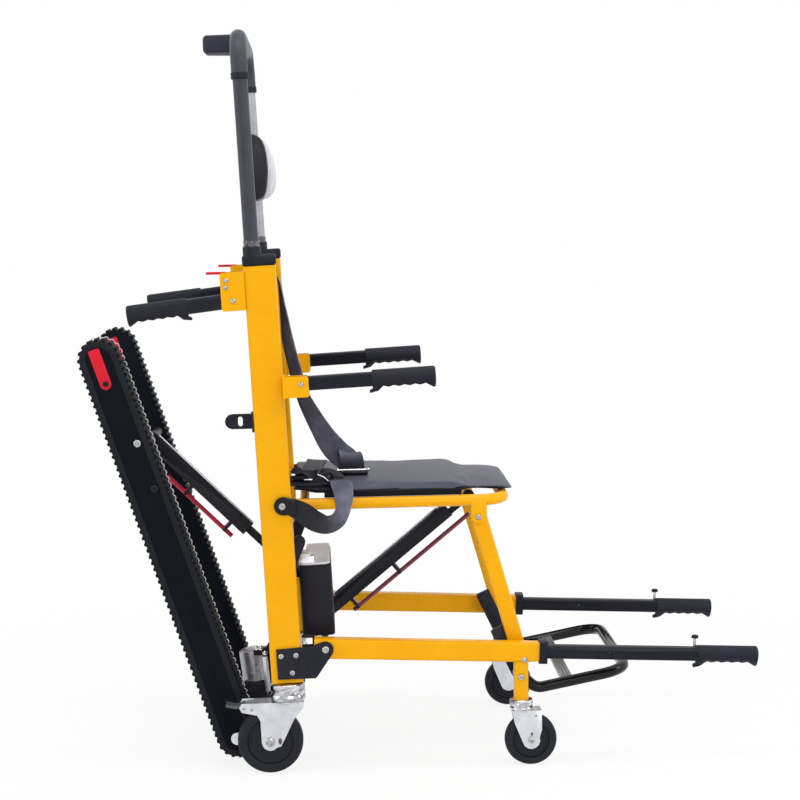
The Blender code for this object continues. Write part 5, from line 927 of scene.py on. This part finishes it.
trackLength = 0.7735
redPlate = {"middle": -0.0024, "half": 0.0110, "low": 0.7268, "lowInner": 0.7570, "top": 0.7955,
            "thick": 0.0016, "corner": 0.0022, "edge": 0.0005, "sunk": 0.0002, "screw": 0.0056, "probe": 0.75,
            "ring": ((0.0, 0.0002), (0.45, 0.0002), (0.5, 0.0018), (0.9, 0.0020), (1.0, 0.0012), (1.0, -0.0006),
                     (0.0, -0.0006))}
guard = {"outer": 0.0358, "inner": 0.0245, "thick": 0.0015, "round": 0.0005, "sunk": 0.0002}
cord = {"y": -0.1335, "tip": 0.0415, "root": 0.0390, "teeth": 138, "radius": 0.0012}


def adjusterPlate(y, thick, low):
    middle, half, top, corner = (redPlate[key] for key in ("middle", "half", "top", "corner"))
    outline = [(middle - half, top - corner), (middle - half + corner, top), (middle + half - corner, top),
               (middle + half, top - corner)] + arc(middle, low, half, 0.0, -180.0, 12)
    return plate("adjusterPlate", outline, *sorted((y, y - thick)), redPlate["edge"], trackFrame)


def screwRing(y, out, low):   # collar and dark socket of the adjuster screw
    place = trackFrame @ Matrix.Translation((redPlate["middle"], y, low))
    place = place @ Matrix.Rotation(math.radians(90) * out, 4, "X")
    return turned("screwRing", scaled(redPlate["ring"], redPlate["screw"]), place, 30, 30)


def capsule(radius, y):
    outline = arc(0.0, trackLength, radius, 0.0, 180.0, 24) + arc(0.0, 0.0, radius, 180.0, 180.0, 24)
    return [(across, y, along) for across, along in outline]


def guardRing(y):   # raised border round the outer face of the housing
    outer, inner, edge = guard["outer"], guard["inner"], guard["round"]
    top, foot = y - guard["thick"], y + guard["sunk"]
    steps = ((outer, foot), (outer, top + edge), (outer - edge, top), (inner + edge, top), (inner, top + edge),
             (inner, foot))
    return loft("guardRing", [capsule(*step) for step in steps], trackFrame, closed=True, degrees=60)


def beltCord():   # pale cord showing at the inner edge of the belt, up and down over its teeth
    length, around = trackLength, math.pi * (cord["tip"] + cord["root"]) / 2
    count = cord["teeth"] * 4
    path = []
    for k in range(count):
        reach = cord["tip"] if k % 4 in (1, 2) else cord["root"]
        way = 2 * (length + around) * k / count
        sign, level = 1, 0.0
        if way >= length + around:
            way -= length + around
            sign, level = -1, length
        if way < length:
            across, along = reach, way
        else:
            turn = (way - length) / around * math.pi
            across, along = reach * math.cos(turn), length + reach * math.sin(turn)
        path.append((sign * across, cord["y"], level + sign * along))
    return tube("beltCord", path, cord["radius"], trackFrame, 1, cyclic=True)


settle(beltCord(), "track", "cordEdge")
outerFace = faceY("track_housing_right", *onTrack(redPlate["middle"], redPlate["probe"]))
pair(guardRing(outerFace), "guardRing", "track", "rimCoat")
innerFace = faceY("track_housing_right", *onTrack(redPlate["middle"], redPlate["probe"]), side=1)
for label, y, out, low in (("Outer", outerFace, 1, redPlate["low"]),
                           ("Inner", innerFace, -1, redPlate["lowInner"])):
    thick = redPlate["thick"] * out
    pair(adjusterPlate(y + redPlate["sunk"] * out, thick, low), "adjuster" + label, "track", "redPlastic")
    pair(screwRing(y - thick, out, low), "adjusterScrew" + label, "track", "blackCoat")
print("crawler done")


# struts: bright wear strips along the top of both channels

wearStrips = {   # body, frame, start and end, y and width, level and height
    "seat": ("seat_channel", seatStrutFrame, (0.045, 0.318), (0.0060, 0.0070), (0.0205, 0.0036)),
    "track": ("track_channel", trackStrutFrame, (0.004, 0.262), (-0.0080, 0.0050), (0.0140, 0.0024)),
}
stripSunk = 0.0002
for label, (body, place, (start, end), (y, wide), (level, tall)) in wearStrips.items():
    centre = ((start + end) / 2, y, level + tall / 2 - stripSunk)
    strip = box(label + "Strip", (end - start, wide, tall), centre, 0.0006, 2, place)
    settle(strip, body, "zincPlate")
print("struts done")


# drive: motor can with its bands, terminal block and the steel strap beside the gearbox

motor = {"frame": (-7.0, -0.066, 0.146, -0.088),
         "can": ((0.0, 0.0668), (0.0100, 0.0664), (0.0170, 0.0650), (0.0215, 0.0622), (0.0234, 0.0585),
                 (0.0238, 0.0545), (0.0238, 0.0372), (0.0230, 0.0366), (0.0230, 0.0346), (0.0239, 0.0340),
                 (0.0239, 0.0226), (0.0228, 0.0218), (0.0228, 0.0200), (0.0239, 0.0192), (0.0239, 0.0060),
                 (0.0244, 0.0056), (0.0244, 0.0030), (0.0, 0.0030)),
         "strap": ((0.0105, 0.0030, 0.070), (-0.0432, -0.1146, 0.1640), 0.0008, 2), "strapLean": -4.0,
         "block": ((0.0260, 0.0180, 0.0150), (-0.0545, -0.1040, 0.2080), 0.0015)}
terminal = {"y": -0.1125, "tilt": 60.0, "spots": ((-0.0630, 0.2165), (-0.0540, 0.2160), (-0.0455, 0.2060)),
            "post": ((0.0, 0.0045), (0.0022, 0.0042), (0.0034, 0.0034), (0.0036, 0.0014), (0.0050, 0.0012),
                     (0.0050, -0.0010), (0.0, -0.0010))}
settle(turned("motorCan", motor["can"], placed(*motor["frame"]), 64, 30), "frame", "motorGrey")
strap = box("motorStrap", *motor["strap"], lean=motor["strapLean"])
settle(strap, "frame", "zincPlate")
settle(box("terminalBlock", *motor["block"]), "frame", "blackPlastic")
tilted = Matrix.Rotation(math.radians(terminal["tilt"]), 4, "X")
posts = [turned("post", terminal["post"], flat @ Matrix.Translation((x, terminal["y"], z)) @ tilted, 24, 30)
         for x, z in terminal["spots"]]
settle(join("terminalPosts", posts), "frame", "brightSteel")


# battery: plugs on the steel socket at its near rear corner

plug = {"upper": ((0.0270, 0.0120, 0.0085), (0.0480, -0.1620, 0.2355), 0.0014, 3), "upperLean": 12.0,
        "lower": ((0.0200, 0.0100, 0.0070), (0.0470, -0.1760, 0.2330), 0.0014, 3),
        "boot": ((0.0130, 0.0150, 0.0120), (0.0340, -0.1640, 0.2400), 0.0030, 4)}
plugs = [box("plug", *plug["upper"], uprightFrame, plug["upperLean"]), box("plug", *plug["lower"], uprightFrame)]
settle(join("batteryPlugs", plugs), "frame", "paleConnector")
settle(box("plugBoot", *plug["boot"], uprightFrame), "frame", "gripRubber")


# battery foot: black bent strip with a window, just inside the hinge plate

foot = {"x": (0.0290, 0.0490, 0.0537), "z": (0.2330, 0.2440, 0.2560, 0.2625), "y": (-0.2135, -0.2110),
        "edge": 0.0004, "overlap": 0.0002}
rear, inner, front = foot["x"]
bottom, sill, lintel, top = foot["z"]
spans = ((rear, front, lintel, top), (inner, front, bottom, lintel + foot["overlap"]),
         (rear, inner + foot["overlap"], bottom, sill))
strips = [plate("strip", ((x0, z0), (x1, z0), (x1, z1), (x0, z1)), *foot["y"], foot["edge"])
          for x0, x1, z0, z1 in spans]
settle(join("batteryFoot", strips), "frame", "blackCoat")


# latch flange, lap belt tongue and its bolt

latchFlange = ((0.0040, 0.0200, 0.0380), (-0.0322, -0.2200, 0.5004), 0.0008, 2)
tongue = {"x": 0.0005, "z": 0.5150, "radius": 0.0175, "start": 70.0, "sweep": 220.0, "thick": 0.0030,
          "edge": 0.0010, "nose": ((0.0200, 0.4965), (0.0245, 0.5010), (0.0245, 0.5250), (0.0200, 0.5290)),
          "out": 0.2385, "bolt": 0.0072, "boltX": -0.0015, "boltSunk": 0.0002,
          "head": ((0.0, 0.0022), (0.30, 0.0022), (0.36, 0.0046), (0.62, 0.0046), (0.86, 0.0036), (1.0, 0.0016),
                   (1.0, 0.0), (0.0, 0.0))}
settle(box("latchFlange", *latchFlange, uprightFrame), "frame", "blackCoat")
tongueFace = -tongue["out"] - tongue["thick"]
outline = arc(tongue["x"], tongue["z"], tongue["radius"], tongue["start"], tongue["sweep"], 16)
outline += tongue["nose"]
pair(plate("beltTongue", outline, tongueFace, -tongue["out"], tongue["edge"]), "beltTongue", "frame", "glossBlack")
boltPlace = acrossY(tongue["boltX"], tongue["z"], tongueFace + tongue["boltSunk"])
pair(turned("tongueBolt", scaled(tongue["head"], tongue["bolt"]), boltPlace, 36, 30), "tongueBolt", "frame",
     "boltSteel")
print("fittings done")


# padded and woven pieces

def puffed(piece, voxel, pressure, limit, restLow, frames=20):
    apply(piece, "REMESH", mode="VOXEL", voxel_size=voxel)
    before = [vert.co.copy() for vert in piece.data.vertices]
    held = piece.vertex_groups.new(name="held")
    held.add([vert.index for vert in piece.data.vertices if restLow(vert.co)], 1.0, "REPLACE")
    cloth = piece.modifiers.new("cloth", "CLOTH")
    cloth.settings.vertex_group_mass = "held"
    cloth.settings.use_pressure = True
    cloth.settings.uniform_pressure_force = pressure
    cloth.settings.effector_weights.gravity = 0.0
    cloth.point_cache.frame_start = 1
    cloth.point_cache.frame_end = frames
    for step in range(1, frames + 1):
        bpy.context.scene.frame_set(step)
    onlySelect(piece)
    bpy.ops.object.modifier_apply(modifier=cloth.name)
    bpy.context.scene.frame_set(1)
    for vert, was in zip(piece.data.vertices, before):
        move = vert.co - was
        if move.length > limit:
            vert.co = was + move.normalized() * limit
    piece.vertex_groups.clear()
    apply(piece, "SUBSURF", levels=1, render_levels=1)
    onlySelect(piece)
    bpy.ops.object.shade_smooth()
    return piece


def pressed(piece):   # gives the piece a mesh of its own
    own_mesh(piece)


seatCushion = {"inset": 0.985, "lift": 0.0055, "rear": 0.0060, "rearLong": 0.080, "noseLong": 0.110,
               "noseShare": 0.6, "sunk": 0.0015, "held": 0.003, "voxel": 0.005, "pressure": 4.0, "limit": 0.004,
               "edge": 0.72}
seatBoard = {"x": (0.078, 0.340), "z": (0.5213, 0.5335), "half": 0.1895, "edge": 0.0010}
headCushion = {"voxel": 0.004, "pressure": 4.0, "limit": 0.003}
padLow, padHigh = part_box("seat_pad")


def cushionStart():   # the solid drawn in a little at its rim, its underside lifted clear of the board
    piece = outward(added("seatPad", nodes["seat_pad"].data.copy()))
    centre = (padLow + padHigh) / 2
    for vert in piece.data.vertices:
        spot = vert.co
        up = (spot.z - padLow.z) / (padHigh.z - padLow.z)
        rear = max(0.0, 1.0 - (spot.x - padLow.x) / seatCushion["rearLong"])
        nose = max(0.0, 1.0 - (padHigh.x - spot.x) / seatCushion["noseLong"])
        spot.x = centre.x + (spot.x - centre.x) * seatCushion["inset"]
        spot.y = centre.y + (spot.y - centre.y) * seatCushion["inset"]
        under = seatCushion["lift"] * (1.0 - seatCushion["noseShare"] * nose) + seatCushion["rear"] * rear
        spot.z += under * (1.0 - up) - seatCushion["sunk"] * up
    return piece


seatPad = cushionStart()
puffed(seatPad, seatCushion["voxel"], seatCushion["pressure"], seatCushion["limit"],
       lambda spot: spot.z < padLow.z + seatCushion["lift"] + seatCushion["held"])
settle(seatPad, "seat", "seatLeatherPaintedSheen", ["seat_pad"])
# painted sheen: faces turned up keep the lighter blue-grey, the rest take the leather's own black
seatPad.data.materials.append(finishes["seatEdge"])
for face in seatPad.data.polygons:
    if face.normal.z < seatCushion["edge"]:
        face.material_index = 1
pressed(seatPad)
(back, front), (low, high), half = seatBoard["x"], seatBoard["z"], seatBoard["half"]
board = plate("seatBoard", [(back, low), (front, low), (front, high), (back, high)], -half, half, seatBoard["edge"])
settle(board, "seat", "seatEdge")

headPad = domed("headPad", headRest["pad"], headRest["padBack"], headRest["padHalf"], headRest["padInset"])
puffed(headPad, headCushion["voxel"], headCushion["pressure"], headCushion["limit"],
       lambda spot: (inFlat @ spot).x < headRest["padHeld"])
settle(headPad, "push_handle", "paleCover", ["headrest_pad"])
print("pads done")


# webbing: a thin section swept along a path, with its weave laid by length and its painted light by station,
# brighter where the strap catches the light

section = ((-1.0, 0.25), (-0.97, 0.5), (-0.5, 0.5), (0.0, 0.5), (0.5, 0.5), (0.97, 0.5), (1.0, 0.25),
           (1.0, -0.25), (0.97, -0.5), (0.5, -0.5), (0.0, -0.5), (-0.5, -0.5), (-0.97, -0.5), (-1.0, -0.25))
taperSteps = 14


def ribbon(name, path, acrosses, width, thick, paintedLight=(0.0,), start=1.0):   # start narrows the first stations
    path = [Vector(point) for point in path]
    rings, lengths = [], [0.0]
    for k, (point, direction, across) in enumerate(zip(path, tangents(path), acrosses)):
        across = Vector(across)
        across = (across - direction * across.dot(direction)).normalized()
        up = direction.cross(across).normalized()
        half = width / 2 * (start + (1.0 - start) * min(k / taperSteps, 1.0))
        rings.append([point + across * half * a + up * thick * b for a, b in section])
        if k:
            lengths.append(lengths[-1] + (point - path[k - 1]).length)
    piece = loft(name, rings, flat)
    layer = piece.data.uv_layers.new(name="weave")
    count = len(section)
    for face in piece.data.polygons:
        for corner, vert in zip(face.loop_indices, face.vertices):
            ring, spot = divmod(vert, count)
            layer.data[corner].uv = (section[spot][0] * width / 2, lengths[min(ring, len(lengths) - 1)])
    # painted light: the brightness share of each station, kept on the mesh for the webbing finish
    tone = piece.data.attributes.new("paintedLight", "FLOAT", "POINT")
    for vert in piece.data.vertices:
        along = (vert.index // count) / (len(rings) - 1) * (len(paintedLight) - 1)
        low = max(0, min(int(along), len(paintedLight) - 2))
        high = min(low + 1, len(paintedLight) - 1)
        tone.data[vert.index].value = paintedLight[low] + (paintedLight[high] - paintedLight[low]) * (along - low)
    return piece


def laid(name, path, acrosses, parts, width, thick, *rest):
    acrosses = between([Vector(across) for across in acrosses], parts)
    return ribbon(name, curveThrough(path, parts), acrosses, width, thick, *rest)


shoulderPath = {
    "width": 0.048, "thick": 0.0022, "y": -0.120, "parts": 5,
    # painted light: the whole strap painted brighter, most in the upper part of its fall
    "paintedLight": (0.2,) * 10 + (0.45, 0.6, 0.6, 0.45, 0.32, 0.30, 0.27, 0.25, 0.25),
    "loopX": -0.018, "loopZ": 0.778, "loopLow": 0.748, "loopReach": 0.0140, "loopEnd": 55.0,
    "fall": (((-0.004, -0.119, 0.942), 3), ((0.006, -0.116, 0.890), 12), ((0.0147, -0.110, 0.819), 28),
             ((0.027, -0.104, 0.762), 31), ((0.042, -0.098, 0.7065), 34), ((0.0755, -0.080, 0.6385), 54),
             ((0.101, -0.064, 0.598), 86), ((0.122, -0.056, 0.578), 92), ((0.133, -0.052, 0.566), 92)),
}


def shoulderStrap():   # looped over the upper cross tube, then falling to the buckle while it turns on edge
    x, reach, parts = shoulderPath["loopX"], shoulderPath["loopReach"], shoulderPath["parts"]
    loop = [(x - reach, shoulderPath["loopLow"])]
    loop += arc(x, shoulderPath["loopZ"], reach, 180.0, shoulderPath["loopEnd"] - 180.0, 8)
    home = inFlat @ uprightFrame
    spots = [home @ Vector((v, shoulderPath["y"], u)) for v, u in loop]
    spots += [Vector(spot) for spot, degrees in shoulderPath["fall"]]
    turns = [0.0] * len(loop) + [math.radians(degrees) for spot, degrees in shoulderPath["fall"]]
    path = curveThrough(spots, parts)
    acrosses = []
    for direction, turn in zip(tangents(path), between(turns, parts)):
        side = Vector((0.0, 1.0, 0.0))
        face = direction.cross(side).normalized()
        acrosses.append(side * math.cos(turn) - face * math.sin(turn))
    return ribbon("shoulderStrap", path, acrosses, shoulderPath["width"], shoulderPath["thick"],
                  shoulderPath["paintedLight"])


lap = {
    "width": 0.040, "thick": 0.0022, "out": 0.2368, "start": 0.75, "parts": 6,
    # painted light: the lap belt painted brighter where it turns up at the near side of the seat
    "paintedLight": (0.0, 0.0, 0.0, 0.0, 0.03, 0.20, 0.37, 0.34, 0.20, 0.08, 0.02) + (0.0,) * 11,
    "beside": ((0.004, 0.0, 0.5155), (0.019, 0.0, 0.5110), (0.037, -0.002, 0.5020), (0.058, -0.004, 0.4865),
               (0.081, -0.004, 0.4785), (0.102, 0.002, 0.4860)),
    "over": ((0.1135, -0.226, 0.507), (0.1150, -0.2085, 0.532), (0.110, -0.196, 0.5500), (0.104, -0.172, 0.5515),
             (0.096, -0.145, 0.5500), (0.084, -0.100, 0.5500), (0.062, -0.040, 0.5515), (0.056, 0.040, 0.5505),
             (0.062, 0.120, 0.5475), (0.066, 0.172, 0.5450), (0.064, 0.199, 0.5405), (0.058, 0.2085, 0.527),
             (0.046, 0.224, 0.508), (0.030, 0.2378, 0.503), (0.014, 0.2368, 0.508), (-0.016, 0.2368, 0.518)),
    "across": ((0.25, 0, 1), (0.25, 0, 1), (0.35, 0.1, 1), (0.5, 0.35, 0.8), (0.1, 0.65, 0.75), (-0.4, 0.75, 0.5),
               (-0.62, 0.78, 0.1), (-0.80, 0.55, 0.15), (-1, 0.1, 0.1), (-1, 0, 0), (-1, 0, 0), (-1, 0.1, 0),
               (-1, -0.3, 0), (-1, 0, 0), (-1, 0, 0), (-1, 0, 0), (-1, 0, 0.15), (-0.9, 0, 0.4),
               (-0.6, 0.5, 0.6), (0.4, 0.1, 1), (0.25, 0, 1), (0.25, 0, 1)),
}
shoulder = shoulderStrap()
settle(shoulder, "frame", "webbing", ["shoulder_strap"])
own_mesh(shoulder)
route = [(x, more - lap["out"], z) for x, more, z in lap["beside"]] + list(lap["over"])
belt = laid("lapBelt", route, lap["across"], lap["parts"], lap["width"], lap["thick"], lap["paintedLight"], lap["start"])
settle(belt, "frame", "webbing", ["lap_belt"])
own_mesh(belt)


# buckle of the shoulder strap lying on the seat, with its bar and the fold of the strap

buckle = {"body": ((0.0600, 0.0330, 0.0110), (0.1347, -0.0640, 0.5520), 0.0042, 4),
          "barX": (0.1047, 0.1647), "barY": -0.0770, "barZ": 0.5580, "bar": 0.0021,
          "knob": ((0.0, 0.0036), (0.0020, 0.0032), (0.0034, 0.0016), (0.0036, 0.0), (0.0034, -0.0016),
                   (0.0020, -0.0032), (0.0, -0.0036))}
# painted light: the fold painted brighter towards its top
strapFold = {"width": 0.046, "thick": 0.0022, "parts": 5, "paintedLight": (0.0, 0.0, 0.05, 0.2, 0.3, 0.3),
             "path": ((0.1347, -0.0655, 0.5530), (0.1347, -0.0672, 0.5610), (0.1342, -0.0668, 0.5730),
                      (0.1310, -0.0630, 0.5845), (0.1265, -0.0565, 0.5890), (0.1225, -0.0500, 0.5850)),
             "tilts": (0.0, 0.0, -0.06, -0.22, -0.30, -0.30)}
pressed(settle(box("buckle", *buckle["body"]), "seat", "glossBlack"))
ends = [(x, buckle["barY"], buckle["barZ"]) for x in buckle["barX"]]
bar = [tube("buckleBar", ends, buckle["bar"])]
bar += [turned("knob", buckle["knob"], flat @ Matrix.Translation(end), 20, 60) for end in ends]
pressed(settle(join("buckleBar", bar), "seat", "brightSteel"))
fold = laid("strapFold", strapFold["path"], [(1.0, 0.0, tilt) for tilt in strapFold["tilts"]], strapFold["parts"],
            strapFold["width"], strapFold["thick"], strapFold["paintedLight"])
pressed(settle(fold, "seat", "webbing"))


# slack of the lap belt: a loose upper length, one lying flat below it, its clips and its catch

slack = {"width": 0.038, "thick": 0.0020, "parts": 6,
         "path": ((0.010, -0.150, 0.5540), (0.020, -0.158, 0.5640), (0.036, -0.166, 0.5660),
                  (0.052, -0.160, 0.5600), (0.066, -0.168, 0.5590), (0.080, -0.160, 0.5650),
                  (0.094, -0.150, 0.5610), (0.108, -0.158, 0.5560)),
         "across": ((0, 1, 0.2), (0, 1, 0.6), (0, 1, -0.2), (0.1, 1, 0.5), (0, 1, 0.9), (0.1, 1, -0.1),
                    (0, 1, 0.4), (0, 1, 0)),
         "under": ((0.002, -0.1690, 0.5475), (0.026, -0.1735, 0.5490), (0.052, -0.1725, 0.5480),
                   (0.076, -0.1705, 0.5495), (0.090, -0.1690, 0.5490)),
         "underAcross": (0.0, 1.0, 0.12)}
clips = {"boxes": (((0.0130, 0.0180, 0.0030), (0.0170, -0.1740, 0.5655), 0.0009, 2),
                   ((0.0160, 0.0060, 0.0028), (0.0480, -0.1800, 0.5560), 0.0009, 2)),
         "wire": ((0.0660, -0.1790, 0.5650), (0.0780, -0.1830, 0.5600), (0.0860, -0.1840, 0.5530)),
         "wireRadius": 0.0012,
         "catch": ((0.0300, 0.0300, 0.0120), (0.0330, -0.1600, 0.5590), 0.0040, 4)}
lengths = [laid(name, path, acrosses, slack["parts"], slack["width"], slack["thick"])
           for name, path, acrosses in (("beltSlack", slack["path"], slack["across"]),
                                        ("beltUnder", slack["under"], [slack["underAcross"]] * len(slack["under"])))]
pressed(settle(join("beltSlack", lengths), "seat", "webbing"))
tongues = [box("clip", *shape) for shape in clips["boxes"]]
tongues.append(tube("clip", clips["wire"], clips["wireRadius"]))
pressed(settle(join("beltClips", tongues), "seat", "brightSteel"))
pressed(settle(box("beltCatch", *clips["catch"]), "seat", "blackPlastic"))


# back sling: one sheet drawn round both cross tubes, its hems in front

sling = {"half": 0.2015, "hem": 0.030, "sag": 0.004, "thick": 0.0024, "v": -0.018, "top": 0.778, "low": 0.430,
         "reach": 0.0108, "rows": 24, "columns": 24, "bend": 12}


def backSling():
    v, reach, top, low = (sling[key] for key in ("v", "reach", "top", "low"))
    path = [(v + reach, top - sling["hem"])] + arc(v, top, reach, 0.0, 180.0, sling["bend"])
    for k in range(1, sling["rows"]):
        part = k / sling["rows"]
        path.append((v - reach + sling["sag"] * math.sin(math.pi * part), top + (low - top) * part))
    path += arc(v, low, reach, 180.0, 180.0, sling["bend"]) + [(v + reach, low + sling["hem"])]
    count = sling["columns"]
    across = [-1 + 2 * k / count for k in range(count + 1)]
    points = [(x, share * sling["half"], z) for x, z in path for share in across]
    faces = []
    for row in range(len(path) - 1):
        for k in range(count):
            here = row * (count + 1) + k
            faces.append((here, here + 1, here + count + 2, here + count + 1))
    piece = fresh("backSling", points, faces=faces)
    piece.data.transform(uprightFrame)
    length = sum(math.dist(one, two) for one, two in zip(path, path[1:]))
    apply(piece, "SOLIDIFY", thickness=sling["thick"], offset=0.0)
    return smooth(piece, 50), length


cloth, slingLength = backSling()
settle(cloth, "frame", "slingCloth", ["back_sling"])
print("soft pieces done")
